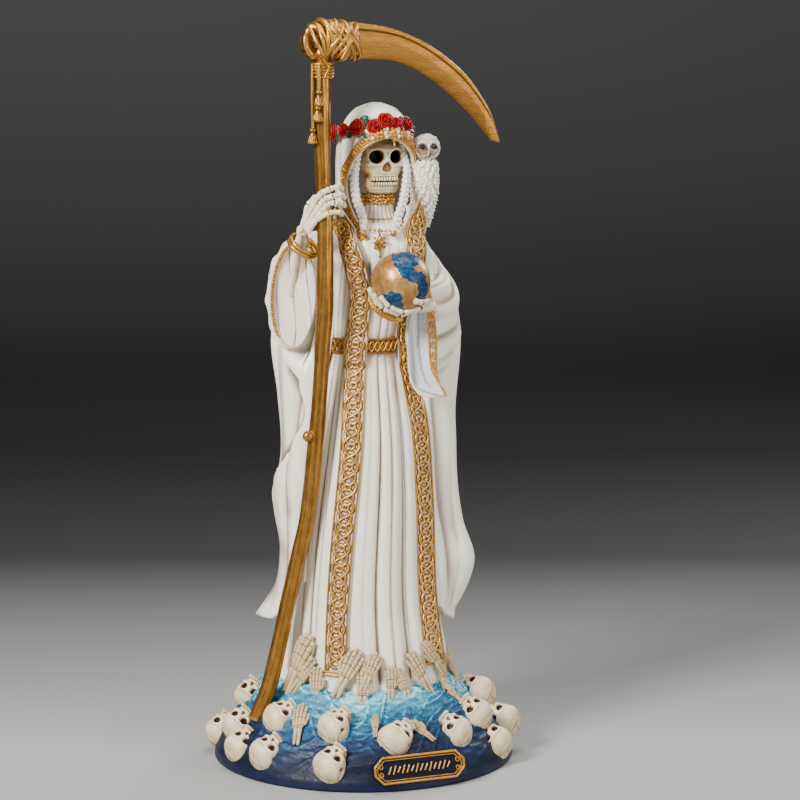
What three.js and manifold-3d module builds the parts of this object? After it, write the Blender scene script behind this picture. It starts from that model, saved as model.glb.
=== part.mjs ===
// A painted cast-resin figure of Santa Muerte, in millimetres, +Z up, with the front of the figure facing
// -Y. A hooded skeleton in a belted dress, a long stole and a wide-sleeved cloak stands on a mound of
// waves, skulls and reaching hands. The raised right hand grips the pole of a scythe, the left hand
// carries a globe, and an owl sits on the left shoulder. The figure and its mound are one casting, and the
// scythe is a second one. Angles are degrees round the vertical axis, counted from the front towards the
// figure's left, which is +X.
import * as THREE from "three";
import { mergeVertices } from "three/addons/utils/BufferGeometryUtils.js";
import Module from "manifold-3d";

const wasm = await Module();
wasm.setup();

// Driving dimensions
const figureHeight = 398; // from the table to the crown of the hood
const baseRadius = 91.5; // the mound's outline on the table
const moundHeight = 52; // where the waves reach the dress
const rimHeight = 6; // the upright edge at the foot of the mound
const globeRadius = 17.4;
const poleRadius = 4.7;
const bladeReach = 97; // from the blade's root to its furthest point
const bladeThickness = 3.4;
const knobRadius = 11; // the burl at the pole's top
const cordRadius = 1.3; // the lashing
const skullLength = 23.5; // brow to back of each skull on the mound
const headLength = 32; // the same on the figure itself
const fingerRadius = 1.9;
const boneRadius = 2.6; // the two bones of a forearm
const stoleWidth = 14;
const stoleThickness = 1.8;
const beltHeight = 11;
const plateWidth = 58;
const plateHeight = 17;
const plateThickness = 3;
const fitGap = 0.3; // between the two castings

// Free forms are given in shares of the figure's height: 398 units make the whole figure.
const unit = figureHeight / 398;
const at = (x, y, z) => new THREE.Vector3(x, y, z).multiplyScalar(unit);
const lift = moundHeight / 52; // heights on the mound follow its own height
const turn = (angle) => THREE.MathUtils.degToRad(angle);

// A point at an angle from the front, a radius and a height.
function polar(angle, radius, z) {
  return new THREE.Vector3(radius * Math.sin(turn(angle)), -radius * Math.cos(turn(angle)), z);
}

// A smooth value between pairs of place and value, listed by rising place.
function smooth(pairs) {
  return (place) => {
    const next = pairs.findIndex(([start]) => start >= place);
    if (next === 0) return pairs[0][1];
    if (next < 0) return pairs[pairs.length - 1][1];
    const [[from, low], [to, high]] = [pairs[next - 1], pairs[next]];
    return THREE.MathUtils.lerp(low, high, THREE.MathUtils.smoothstep(place, from, to));
  };
}

// A straight-line value between the same kind of pairs.
function straight(pairs) {
  return (place) => {
    const next = pairs.findIndex(([start]) => start >= place);
    if (next === 0) return pairs[0][1];
    if (next < 0) return pairs[pairs.length - 1][1];
    const [[from, low], [to, high]] = [pairs[next - 1], pairs[next]];
    return THREE.MathUtils.mapLinear(place, from, to, low, high);
  };
}

// A solid from points and triangles, turned so that its faces point out.
function solidOf(points, triangles) {
  let volume = 0;
  for (const [a, b, c] of triangles) {
    volume += points[a].dot(new THREE.Vector3().crossVectors(points[b], points[c]));
  }
  const facing = volume > 0 ? triangles : triangles.map(([a, b, c]) => [a, c, b]);
  return new wasm.Manifold(
    new wasm.Mesh({
      numProp: 3,
      vertProperties: Float32Array.from(points.flatMap((point) => point.toArray())),
      triVerts: Uint32Array.from(facing.flat()),
    }),
  );
}

// A solid from a three.js geometry whose shared corners are merged.
function solidFrom(geometry) {
  geometry.deleteAttribute("normal");
  geometry.deleteAttribute("uv");
  const merged = mergeVertices(geometry, 1e-3);
  const corners = merged.attributes.position;
  const points = [];
  for (let corner = 0; corner < corners.count; corner += 1) {
    points.push(new THREE.Vector3().fromBufferAttribute(corners, corner));
  }
  const triangles = [];
  for (let first = 0; first < merged.index.count; first += 3) {
    const [a, b, c] = merged.index.array.slice(first, first + 3);
    if (a !== b && b !== c && c !== a) triangles.push([a, b, c]);
  }
  return solidOf(points, triangles);
}

// A closed body through rings of points, each ring listed the same way round.
function bodyThrough(rings) {
  const sides = rings[0].length;
  const points = rings.flat();
  const triangles = [];
  for (let start = 0; start + sides < points.length; start += sides) {
    for (let side = 0; side < sides; side += 1) {
      const here = start + side;
      const next = start + ((side + 1) % sides);
      triangles.push([here, next, next + sides], [here, next + sides, here + sides]);
    }
  }
  const last = points.length - sides;
  for (const [start, inward] of [[0, true], [last, false]]) {
    const middle = new THREE.Vector3();
    points.slice(start, start + sides).forEach((point) => middle.addScaledVector(point, 1 / sides));
    points.push(middle);
    for (let side = 0; side < sides; side += 1) {
      const pair = [start + side, start + ((side + 1) % sides)];
      triangles.push(inward ? [points.length - 1, pair[1], pair[0]] : [points.length - 1, ...pair]);
    }
  }
  return solidOf(points, triangles);
}

// A closed sheet between an outer and an inner face, each a function of two shares from 0 to 1.
function sheetBetween(outer, inner, across, along) {
  const points = [];
  for (const face of [outer, inner]) {
    for (let row = 0; row <= along; row += 1) {
      for (let column = 0; column <= across; column += 1) points.push(face(column / across, row / along));
    }
  }
  const place = (side, column, row) => (side * (along + 1) + row) * (across + 1) + column;
  const triangles = [];
  const quad = (a, b, c, d) => triangles.push([a, b, c], [a, c, d]);
  for (let row = 0; row < along; row += 1) {
    for (let column = 0; column < across; column += 1) {
      const [right, below] = [column + 1, row + 1];
      quad(place(0, column, row), place(0, right, row), place(0, right, below), place(0, column, below));
      quad(place(1, column, row), place(1, column, below), place(1, right, below), place(1, right, row));
    }
  }
  for (let column = 0; column < across; column += 1) {
    const right = column + 1;
    quad(place(0, column, 0), place(1, column, 0), place(1, right, 0), place(0, right, 0));
    quad(place(0, column, along), place(0, right, along), place(1, right, along), place(1, column, along));
  }
  for (let row = 0; row < along; row += 1) {
    const below = row + 1;
    quad(place(0, 0, row), place(0, 0, below), place(1, 0, below), place(1, 0, row));
    quad(place(0, across, row), place(1, across, row), place(1, across, below), place(0, across, below));
  }
  return solidOf(points, triangles);
}

// A round limb along points, with a radius at each of them.
function limb(points, radii, sides) {
  let normal = new THREE.Vector3(0.31, 0.2, 0.93);
  const rings = points.map((point, index) => {
    const before = points[Math.max(index - 1, 0)];
    const after = points[Math.min(index + 1, points.length - 1)];
    const along = new THREE.Vector3().subVectors(after, before).normalize();
    normal = normal.clone().addScaledVector(along, -normal.dot(along)).normalize();
    const binormal = new THREE.Vector3().crossVectors(along, normal);
    return Array.from({ length: sides }, (_, side) => {
      const angle = (2 * Math.PI * side) / sides;
      return point
        .clone()
        .addScaledVector(normal, radii[index] * Math.cos(angle))
        .addScaledVector(binormal, radii[index] * Math.sin(angle));
    });
  });
  return bodyThrough(rings);
}

// A limb of one radius along a smooth curve through a few points.
function strand(points, radius, steps, sides) {
  const curve = new THREE.CatmullRomCurve3(points);
  return limb(curve.getPoints(steps), Array(steps + 1).fill(radius), sides);
}

// An egg-shaped solid.
function ball(centre, radii, around, down) {
  const geometry = new THREE.SphereGeometry(1, around, down);
  geometry.rotateX(Math.PI / 2);
  geometry.scale(radii.x, radii.y, radii.z);
  geometry.translate(centre.x, centre.y, centre.z);
  return solidFrom(geometry);
}

function join(solids) {
  return solids.reduce((whole, solid) => whole.add(solid));
}

// The body leans over its left hip, so the middle of each height has its own place.
const leanX = smooth([[50, 0], [100, -1.9], [200, 0], [250, 0.9], [320, 7.5]]);
const leanY = smooth([[50, 0], [100, 0.7], [200, 0], [250, -0.3], [320, -2.7]]);

// A point on a robe: heights are in units, and radii too.
function robePoint(angle, radius, z) {
  return polar(angle, radius * unit, z * unit).add(at(leanX(z), leanY(z), 0));
}

// The mound: a round foot, a steep flank and a saddle of waves that curl up to the dress.
const moundProfile = straight([
  [0, 52], [0.57, 50], [0.656, 45], [0.743, 38], [0.83, 29], [0.907, 21], [0.95, 14], [0.984, 6], [1, 0],
]);

function moundTop(angle, share) {
  const wave = Math.sin(turn(5 * angle) + 9 * share) * 1.8 + Math.sin(turn(9 * angle) - 14 * share) * 0.9;
  const fade = Math.max(0, 1 - Math.abs(share - 0.74) / 0.24);
  return (moundProfile(share) + wave * fade) * lift;
}

function makeMound() {
  const shares = [0.984, 0.92, 0.82, 0.72, 0.6];
  const sides = 28;
  const ringAt = (radius, height) =>
    Array.from({ length: sides }, (_, side) => {
      const angle = (360 * side) / sides;
      return polar(angle, radius, height(angle));
    });
  const rings = [ringAt(baseRadius, () => 0)];
  for (const share of shares) {
    const height = (angle) => (share === shares[0] ? rimHeight : moundTop(angle, share));
    rings.push(ringAt(baseRadius * share, height));
  }
  return bodyThrough(rings);
}

// The dress: belted under the chest and flaring in long folds down to the waves.
const dressRadius = smooth([
  [40, 55], [70, 51], [100, 47], [157, 42], [200, 36], [235, 29], [252, 25.5], [270, 27], [300, 29],
  [316, 29], [326, 22], [338, 12],
]);
const foldDepth = straight([[46, 4.2], [110, 3.4], [200, 1.8], [246, 0.8], [262, 0.5], [305, 1], [326, 0]]);

function dressFace(angle, z) {
  const fold = 0.5 - 0.5 * Math.cos(turn(15 * angle + 20 * Math.sin(turn(2 * angle))));
  return dressRadius(z) - foldDepth(z) * fold;
}

// Folds are modelled finely only where the cloak leaves the dress open.
const dressAngles = [
  ...Array.from({ length: 30 }, (_, step) => -100 + 6 * step),
  ...Array.from({ length: 11 }, (_, step) => 80 + (180 / 11) * step),
];

function makeDress() {
  const heights = [44, 80, 125, 180, 246, 268, 312, 326];
  return bodyThrough(
    heights.map((z) => dressAngles.map((angle) => robePoint(angle, dressFace(angle, z), z))),
  );
}

function makeBelt() {
  const middle = 251.5 * unit;
  const ring = (radius, z) =>
    Array.from({ length: 20 }, (_, side) =>
      polar((360 * side) / 20, radius * unit, z).add(at(leanX(251.5), leanY(251.5), 0)),
    );
  const edges = [[24, -0.5], [27.6, -0.5], [27.6, 0.5], [24, 0.5]];
  return bodyThrough(edges.map(([radius, share]) => ring(radius, middle + share * beltHeight)));
}

// The two ends of the stole hang from the neck over chest and belt down to the knees.
const stoleAngle = {
  right: smooth([[58, -38.5], [130, -34.5], [200, -31], [262, -33], [296, -43], [324, -58], [334, -75]]),
  left: smooth([[64, 33], [130, 36], [200, 36], [262, 34], [296, 36], [324, 46], [334, 66]]),
};
const stoleBottom = { right: 59.5, left: 62 };

function makeStoleEnd(side) {
  const edge = (depth) => (across, along) => {
    const z = THREE.MathUtils.lerp(stoleBottom[side], 334, along);
    const reach = Math.max(dressRadius(z), 26) + (z > 240 && z < 262 ? 1.6 : 0) + 0.4;
    const half = THREE.MathUtils.radToDeg(stoleWidth / 2 / (reach * unit));
    const angle = stoleAngle[side](z) + THREE.MathUtils.lerp(-half, half, across);
    return robePoint(angle, reach + depth / unit, z);
  };
  return sheetBetween(edge(stoleThickness), edge(-6), 1, 12);
}

// The cloak is open in front. It runs from the right front edge round the back to the left front edge, up to
// its neck at the hood, and each of these columns gives its radius by height.
const cloak = { start: -80, end: -306, top: 336, neck: 21 };
const cloakColumns = [
  { angle: -80, rows: [[100, 47], [150, 48], [205, 44], [260, 42], [318, 29]] },
  { angle: -96, rows: [[84, 58], [105, 51], [125, 48], [157, 51], [186, 48], [222, 49], [262, 54], [318, 33]] },
  { angle: -112, rows: [[84, 66], [104, 52], [125, 48.5], [157, 53], [186, 49.5], [222, 52], [262, 57], [318, 36]] },
  { angle: -135, rows: [[80, 60], [104, 53], [150, 51], [205, 49], [262, 49], [318, 36]] },
  { angle: -170, rows: [[78, 60], [110, 54], [160, 48], [205, 44], [262, 42], [318, 34]] },
  { angle: -215, rows: [[78, 60], [110, 56], [160, 50], [205, 46], [262, 44], [318, 33]] },
  { angle: -262, rows: [[80, 50], [98, 57], [120, 62], [160, 53], [205, 51], [262, 50], [290, 45], [320, 29]] },
  { angle: -290, rows: [[86, 48], [97, 54], [120, 68], [145, 61], [205, 54], [277, 53], [303, 38], [320, 28]] },
  { angle: -306, rows: [[90, 49.5], [120, 52], [160, 47], [205, 43], [262, 37], [303, 32], [320, 28]] },
].map(({ angle, rows }) => ({ angle, radius: smooth([...rows, [cloak.top, cloak.neck]]) }));
const cloakHem = smooth([
  [-306, 94], [-290, 92], [-262, 82], [-215, 76], [-170, 76], [-135, 80], [-112, 85], [-96, 88], [-80, 104],
]);

function cloakFace(angle, z) {
  const next = Math.max(1, cloakColumns.findIndex((column) => column.angle <= angle));
  const [before, after] = [cloakColumns[next - 1], cloakColumns[next]];
  const share = THREE.MathUtils.smoothstep(-angle, -before.angle, -after.angle);
  const radius = THREE.MathUtils.lerp(before.radius(z), after.radius(z), share);
  const inward = Math.sin((Math.PI * (angle - cloak.start)) / (cloak.end - cloak.start));
  const fold = Math.sin(turn(9 * angle)) * foldDepth(Math.max(z, 60)) * 0.85;
  return radius + fold * inward;
}

// The rows of the cloak lie closest where its outline swings most, near the hem.
const cloakRows = [0, 0.07, 0.15, 0.24, 0.33, 0.5, 0.74, 0.93, 1];

function makeCloak() {
  const place = (depth) => (across, along) => {
    const angle = THREE.MathUtils.lerp(cloak.start, cloak.end, across);
    const row = cloakRows[Math.round(along * (cloakRows.length - 1))];
    const z = THREE.MathUtils.lerp(cloakHem(angle), cloak.top, row);
    return robePoint(angle, Math.max(cloak.neck / 3, cloakFace(angle, z) - depth(across, z)), z);
  };
  const thickness = (across, z) => 3.2 + 16 * Math.sin(Math.PI * across) + Math.max(0, z - 230) * 0.25;
  return sheetBetween(place(() => 0), place(thickness), 22, cloakRows.length - 1);
}

// Each sleeve is a bell: rings run from the shoulder to the open mouth and back inside it. A ring is given
// by its middle and by the two half axes across and upwards.
function sleeveRing([middle, across, up], sides = 9) {
  return Array.from({ length: sides }, (_, side) => {
    const angle = (2 * Math.PI * side) / sides;
    return at(...middle)
      .addScaledVector(at(...across), Math.cos(angle))
      .addScaledVector(at(...up), Math.sin(angle));
  });
}

const rightMouth = [[-45.9, -7.8, 284], [9.4, -10.9, 0], [1, -2, 31]];
const leftMouth = [[23.7, -41.6, 253], [9.9, 0.4, 1], [-3.5, 1, 31.5]];

function makeSleeves() {
  const right = [
    [[-14, 6, 300], [8, -4, 0], [0, 0, 20]],
    [[-30, 8, 294], [13, -5, 0], [0, 0, 27]],
    [[-41, 5, 285], [14.5, -6.5, 0], [0, 0, 32]],
    [[-46.5, -3, 284], [12.2, -10, 0], [1, -2, 32.5]],
    rightMouth,
    [[-44.5, -5.5, 284], [7.6, -9, 0], [1, -2, 28.5]],
    [[-38, 5, 284], [6, -5, 0], [0, 0, 22]],
  ];
  const left = [
    [[18, -6, 302], [10, -2, 0], [0, 0, 19]],
    [[33, -10, 290], [14, -6, 0], [-2, 0, 24]],
    [[39.5, -21, 268], [13.5, -5.5, 0], [-1, 0, 28.5]],
    [[33, -34, 258], [13.5, -2, 0], [-3, 0, 34]],
    leftMouth,
    [[24.5, -39, 253], [8, 0, 0], [-3, 0, 28.5]],
    [[31, -26, 258], [7, -3, 0], [-2, 0, 22]],
  ];
  return [right, left].map((rings) => bodyThrough(rings.map((ring) => sleeveRing(ring))));
}

// A skeleton's head: rings from the crown to the chin, each given by its height, half width, back and
// front, and by how far its two front corners are sunk to make the eyes and the cheeks. Sizes are shares
// of its length.
const skullRings = [
  { z: 0.27, half: 0.3, back: -0.4, front: 0.32, sunk: 0 },
  { z: 0.02, half: 0.385, back: -0.48, front: 0.46, sunk: 0 },
  { z: -0.12, half: 0.37, back: -0.44, front: 0.45, sunk: 0.15 },
  { z: -0.34, half: 0.31, back: -0.12, front: 0.48, sunk: 0.02 },
  { z: -0.76, half: 0.17, back: 0.12, front: 0.46, sunk: 0 },
];

function makeSkull(centre, facing, rise, roll, length) {
  const pose = new THREE.Matrix4()
    .makeTranslation(centre.x, centre.y, centre.z)
    .multiply(new THREE.Matrix4().makeRotationZ(turn(180 + facing)))
    .multiply(new THREE.Matrix4().makeRotationX(turn(rise)))
    .multiply(new THREE.Matrix4().makeRotationY(turn(roll)))
    .multiply(new THREE.Matrix4().makeScale(length, length, length));
  const rings = skullRings.map(({ z, half, back, front, sunk }) => {
    const middle = (front + back) / 2;
    const corner = { x: half * 0.72, y: (front - middle) * 0.78 };
    return [
      [0, front],
      [corner.x * 0.8, middle + corner.y - sunk],
      [half, middle],
      [corner.x, middle - corner.y],
      [0, back],
      [-corner.x, middle - corner.y],
      [-half, middle],
      [-corner.x * 0.8, middle + corner.y - sunk],
    ].map(([x, y]) => new THREE.Vector3(x, y, z).applyMatrix4(pose));
  });
  return bodyThrough(rings);
}

// The skulls on the mound: angle and share of the radius, height, where the face looks, its rise and roll.
const moundSkulls = [
  [-114, 0.776, 34.6, 10, 35, 65], [-110, 0.97, 10.5, 5, 50, 80], [-90, 0.89, 22.5, 5, 45, 75],
  [-81, 0.95, 11.8, 0, 25, 80], [-64.5, 0.935, 15, 5, 30, 85], [-67, 0.786, 33.5, 5, 20, 85],
  [-34.2, 0.776, 34, 10, 55, 80], [-33.5, 0.935, 15, 5, 40, 80], [-7, 0.838, 26.6, 75, 5, 70],
  [26.5, 0.853, 25.2, -50, 40, -85], [70, 0.768, 36.8, -40, 20, -60], [46.9, 0.813, 30.7, -45, 20, -80],
  [70, 0.94, 20.5, -40, 20, -75], [50.2, 0.94, 13.5, -40, 30, -85], [98, 0.82, 34, 60, 20, -40],
  [126, 0.92, 15.5, 90, 30, 40], [154, 0.87, 24, 140, 20, 20], [187, 0.92, 15.5, 170, 30, -30],
  [219, 0.87, 24, 230, 20, 60],
];

function makeMoundSkulls() {
  return moundSkulls.map(([angle, share, z, facing, rise, roll]) =>
    makeSkull(polar(angle, baseRadius * share, z * lift), facing, rise, roll, skullLength),
  );
}

// A bony hand reaching up the dress or out of the waves: a flat fan of four fingers on a thin forearm.
function makeReachingHand(tip, base, outward) {
  const along = new THREE.Vector3().subVectors(tip, base);
  const length = along.length() / unit;
  along.normalize();
  const side = new THREE.Vector3().crossVectors(outward, along).normalize();
  const front = new THREE.Vector3().crossVectors(along, side);
  const fan = new THREE.Shape();
  fan.moveTo(-2.4, -length);
  fan.lineTo(-2, -12);
  for (const finger of [-1.5, -0.5, 0.5, 1.5]) {
    fan.lineTo(finger * 3.3, -0.9 * Math.abs(finger + 0.2));
    if (finger < 1.5) fan.lineTo((finger + 0.5) * 2.6, -5.5);
  }
  fan.lineTo(2, -12);
  fan.lineTo(2.4, -length);
  const bones = new THREE.ExtrudeGeometry(fan, { depth: 9, bevelEnabled: false });
  bones.scale(unit, unit, unit);
  const pose = new THREE.Matrix4().makeBasis(side, along, front);
  bones.applyMatrix4(pose.setPosition(tip.clone().addScaledVector(front, -7 * unit)));
  return solidFrom(bones);
}

// The hands round the hem: angle and height of the fingertips, then of the forearm's lower end.
const hemHands = [
  [-57, 84, -73, 46], [-52, 69, -68, 46], [-51, 65, -49, 40], [-21, 77, -37, 48], [-19, 67, -21, 37],
  [-9, 74, -21, 52], [-2, 66, -4, 44], [4, 65, 8, 42], [12, 73.5, 24, 47], [26, 78, 38, 56],
  [41, 68, 37, 44], [55, 66, 62, 44], [66, 60, 56, 42], [84, 62, 98, 44], [112, 66, 106, 44],
  [150, 62, 156, 44], [196, 66, 190, 44], [236, 64, 242, 44],
];

// The hands that come out of the waves further down: angle, share of the radius and height of both ends.
const waveHands = [
  [[-54, 0.72, 42], [-49, 0.9, 21]], [[-14, 0.76, 39], [-15, 0.85, 27]], [[2, 0.8, 34.5], [11, 0.89, 23]],
  [[37, 0.64, 48], [40, 0.76, 36]],
];

function makeHands() {
  const onHem = hemHands.map(([tipAngle, tipHeight, baseAngle, baseHeight]) => {
    const tip = robePoint(tipAngle, dressRadius(tipHeight) + 1.2, tipHeight);
    const base = robePoint(baseAngle, dressRadius(baseHeight) + 4.5, baseHeight);
    return makeReachingHand(tip, base, polar(tipAngle, 1, 0.1));
  });
  const onWaves = waveHands.map(([[tipAngle, tipShare, tipHeight], [baseAngle, baseShare, baseHeight]]) =>
    makeReachingHand(
      polar(tipAngle, baseRadius * tipShare, tipHeight * lift),
      polar(baseAngle, baseRadius * baseShare, baseHeight * lift),
      polar(tipAngle, 1, 1),
    ),
  );
  return [...onHem, ...onWaves];
}

// The raised right arm: two bones, a wrist with a bangle, and four fingers and a thumb round the pole.
function makeRightArm() {
  const elbow = at(-43, 3, 268);
  const wrist = at(-44.1, -19.1, 322.9);
  const spread = at(3, 3.4, 0);
  const bones = [spread, spread.clone().negate()].map((shift) =>
    limb(
      [elbow.clone().add(shift), wrist.clone().addScaledVector(shift, 0.75)],
      [boneRadius * 1.2, boneRadius * 0.9],
      5,
    ),
  );
  const bangle = new THREE.TorusGeometry(8 * unit, 1.9 * unit, 4, 10);
  bangle.lookAt(new THREE.Vector3(0.05, 0.42, -1));
  bangle.translate(-43.4 * unit, -17.2 * unit, 315 * unit);
  const fingers = [
    [[-45.5, -21.5, 325], [-38.6, -32, 345], [-28.7, -35.6, 349.5], [-24.8, -31, 348]],
    [[-44.5, -23, 325], [-37.6, -34, 341], [-27.1, -36.2, 344.4], [-23.6, -31, 342.8]],
    [[-43.8, -24.5, 325], [-36.9, -35, 337.5], [-26.6, -36.4, 339.6], [-23.4, -31, 338.2]],
    [[-43.2, -25.5, 324.6], [-37.6, -34.3, 332.8], [-27.7, -35.8, 334.9], [-24.4, -31, 333.4]],
    [[-45, -19, 325], [-42, -19.5, 336], [-31, -19, 342.5]],
  ].map((joints) => limb(joints.map((joint) => at(...joint)), joints.map(() => fingerRadius * 1.25), 4));
  const palm = bodyThrough([
    sleeveRing([[-44, -21.5, 321], [2.6, -3.4, 0], [-3, 0, 1]], 6),
    sleeveRing([[-42, -24.5, 329], [3.2, -5.6, 0], [-3.4, 0, 1]], 6),
    sleeveRing([[-38.5, -27.5, 339], [2.6, -6.2, 0], [-4.2, 0, 2]], 6),
  ]);
  return [...bones, solidFrom(bangle), ...fingers, palm];
}

// The left hand holds the globe from below, with two fingers up its side and the thumb in front.
const globeCentre = at(5.7, -50, 294.6);

function makeLeftArm() {
  const wrist = at(26.5, -43, 280.5);
  const under = globeRadius + fingerRadius * 0.7;
  const onGlobe = (side, front, up) =>
    new THREE.Vector3(side, front, up).normalize().multiplyScalar(under).add(globeCentre);
  const forearm = limb([at(40, -24, 274), wrist], [boneRadius * 1.5, boneRadius * 1.2], 6);
  const fingers = [
    [[0.55, 0.05, -0.85], [-0.05, 0.15, -1], [-0.62, 0.3, -0.72], [-0.93, 0.3, -0.15]],
    [[0.5, -0.2, -0.85], [-0.1, -0.15, -1], [-0.62, -0.1, -0.76], [-0.95, -0.1, -0.3]],
    [[0.5, -0.4, -0.8], [-0.1, -0.45, -0.9], [-0.55, -0.45, -0.7], [-0.85, -0.4, -0.35]],
    [[0.75, -0.45, -0.6], [0.45, -0.75, -0.62], [0.1, -0.85, -0.5]],
  ]
    .map((joints) => [wrist, ...joints.map((joint) => onGlobe(...joint))])
    .map((joints) => limb(joints, joints.map(() => fingerRadius * 1.15), 4));
  const cuffLine = [at(22, -36, 272), at(8, -42, 267.5), at(-5, -40, 272), at(-10, -33, 280)];
  const cuff = strand(cuffLine, 3.4 * unit, 4, 5);
  return [forearm, ...fingers, cuff];
}

function makeGlobe() {
  return ball(globeCentre, new THREE.Vector3(globeRadius, globeRadius, globeRadius), 12, 7);
}

// The hood: a domed veil, open in front from the brow down to the chest, edged with a gold trim.
const hoodMiddle = [7.5, -2.7];
const hoodRings = [
  [316, 30, 27], [330, 25.5, 24], [348, 24, 23.2], [364, 23.8, 23.4], [380, 22.4, 22.6], [390, 18.2, 18.6],
  [396, 10.5, 11], [398, 4, 4.4],
];

function makeHood() {
  const veil = bodyThrough(
    hoodRings.map(([z, half, deep]) => {
      const folds = z < 350 ? 1.6 : 0.7;
      return Array.from({ length: 20 }, (_, side) => {
        const angle = (2 * Math.PI * side) / 20;
        const fold = 1 - (folds * (side % 2)) / half;
        return at(
          hoodMiddle[0] + half * fold * Math.sin(angle),
          hoodMiddle[1] - deep * fold * Math.cos(angle),
          z,
        );
      });
    }),
  );
  const opening = [[381, 5], [378, 13], [370, 18.5], [358, 20], [346, 19.5], [334, 16.5], [322, 11]];
  const hollow = bodyThrough(
    opening.map(([z, half]) => [
      at(hoodMiddle[0] + half, -60, z),
      at(hoodMiddle[0] + half, -10, z),
      at(hoodMiddle[0] + half * 0.7, -4, z),
      at(hoodMiddle[0] - half * 0.7, -4, z),
      at(hoodMiddle[0] - half, -10, z),
      at(hoodMiddle[0] - half, -60, z),
    ]),
  );
  const tiara = [-9, 0, 9].map((side) =>
    ball(
      at(hoodMiddle[0] + side, -24.5 + side * side * 0.03, 381 - side * side * 0.018),
      at(2.2, 1.8, side === 0 ? 4.6 : 3),
      5,
      3,
    ),
  );
  return [veil.subtract(hollow), ...tiara];
}

// The neck with its high pleated collar, and the two braids that fall in front of it.
function makeCollar() {
  const ring = (radius, z) =>
    Array.from({ length: 12 }, (_, side) => {
      const angle = (2 * Math.PI * side) / 12;
      const pleat = radius - (side % 2) * 0.6;
      return at(8 + pleat * Math.sin(angle), -5 - pleat * Math.cos(angle), z);
    });
  return bodyThrough([ring(17, 320), ring(12.5, 329), ring(9.5, 333), ring(9.2, 342), ring(9.8, 346)]);
}

function makeBraids() {
  const paths = [
    [
      [-5.7, -6.4, 369.7], [-10.8, -10.5, 361], [-12.2, -14.5, 352.4], [-11.3, -19, 341],
      [-10.1, -22.9, 330.4], [-12, -25.5, 322.4],
    ],
    [
      [22, -8.5, 369.5], [24.5, -14.5, 359], [23.5, -18, 350.8], [18.5, -24, 340.6], [13.2, -27.5, 330.3],
      [9, -31, 321.2],
    ],
  ];
  return paths.map((path) => {
    const steps = 9;
    const points = new THREE.CatmullRomCurve3(path.map((point) => at(...point))).getPoints(steps);
    return limb(points, points.map((_, step) => (step % 2 ? 3.7 : 2.7) * unit), 5);
  });
}

// The wreath: a garland round the hood, higher at the brow than behind, with roses side by side on it.
function makeWreath() {
  const roses = 14;
  const place = new THREE.Matrix4()
    .makeTranslation(at(hoodMiddle[0], hoodMiddle[1], 383))
    .multiply(new THREE.Matrix4().makeRotationX(turn(-9)));
  const garland = new THREE.TorusGeometry(20 * unit, 3 * unit, 4, roses);
  const flowers = Array.from({ length: roses }, (_, rose) => {
    const bloom = new THREE.IcosahedronGeometry(4.9 * unit);
    const centre = polar((360 * rose) / roses, 22.4 * unit, unit);
    return bloom.translate(centre.x, centre.y, centre.z);
  });
  return [garland, ...flowers].map((form) => solidFrom(form.applyMatrix4(place)));
}

// The owl on the left shoulder: a round head turned outwards, a full breast, folded wings and a short tail.
function makeOwl() {
  const spine = [
    [33.5, -12, 325], [35, -12.5, 331], [36.2, -13, 340], [36.6, -13, 350], [35.6, -13.6, 359],
    [35, -14.4, 364],
  ];
  const girth = [3.5, 7, 9.6, 10.2, 9, 7];
  const body = limb(spine.map((point) => at(...point)), girth.map((radius) => radius * unit), 9);
  const head = ball(at(35, -14.8, 371), at(8.8, 8.6, 8.8), 9, 6);
  const wings = [-1, 1].map((side) =>
    ball(at(36.5 + side * 8, -11.5 + side * 2, 345), at(3, 6.5, 14), 5, 3),
  );
  return [body, head, ...wings];
}

// The blank name plate stands against the mound's front.
function makePlate() {
  const corner = plateHeight * 0.32;
  const [w, h] = [plateWidth / 2, plateHeight / 2];
  const quarter = [[w, h - corner], [w - corner, h]];
  const top = [...quarter, ...quarter.map(([x, y]) => [-x, y]).reverse()];
  const corners = [...top, ...top.map(([x, y]) => [x, -y]).reverse()];
  const outline = new THREE.Shape(corners.map(([x, y]) => new THREE.Vector2(x, y)));
  const slab = new THREE.ExtrudeGeometry(outline, { depth: plateThickness * 3, bevelEnabled: false });
  slab.translate(0, 0, -plateThickness * 2);
  slab.rotateX(Math.PI / 2 - turn(12));
  slab.rotateZ(turn(1.5));
  slab.translate(2 * unit, -baseRadius * 0.985, plateHeight / 2 + rimHeight * 0.8);
  return solidFrom(slab);
}

// The scythe: a knotty pole with a burl on top, the blade bound to it with cords, and three tassels.
const polePath = [
  [-73.7, -13.6, 29.5], [-65.1, -16.7, 54.5], [-55.8, -20.1, 98.9], [-48.3, -22.9, 133.7],
  [-43.5, -24.6, 157.3], [-39.7, -26, 194], [-37.1, -26.9, 224], [-35.4, -27.5, 254], [-33.8, -28.1, 283],
  [-33.6, -28.2, 324.5], [-33.8, -26.8, 342], [-34.4, -26.3, 371], [-34.2, -26.4, 400], [-34, -25.6, 426],
];

function makePole(extra) {
  const points = polePath.map((point) => at(...point));
  if (extra > 0) {
    const foot = new THREE.Vector3().subVectors(points[0], points[1]).normalize();
    points[0].addScaledVector(foot, extra);
  }
  return limb(points, points.map(() => poleRadius + extra), 8);
}

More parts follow.
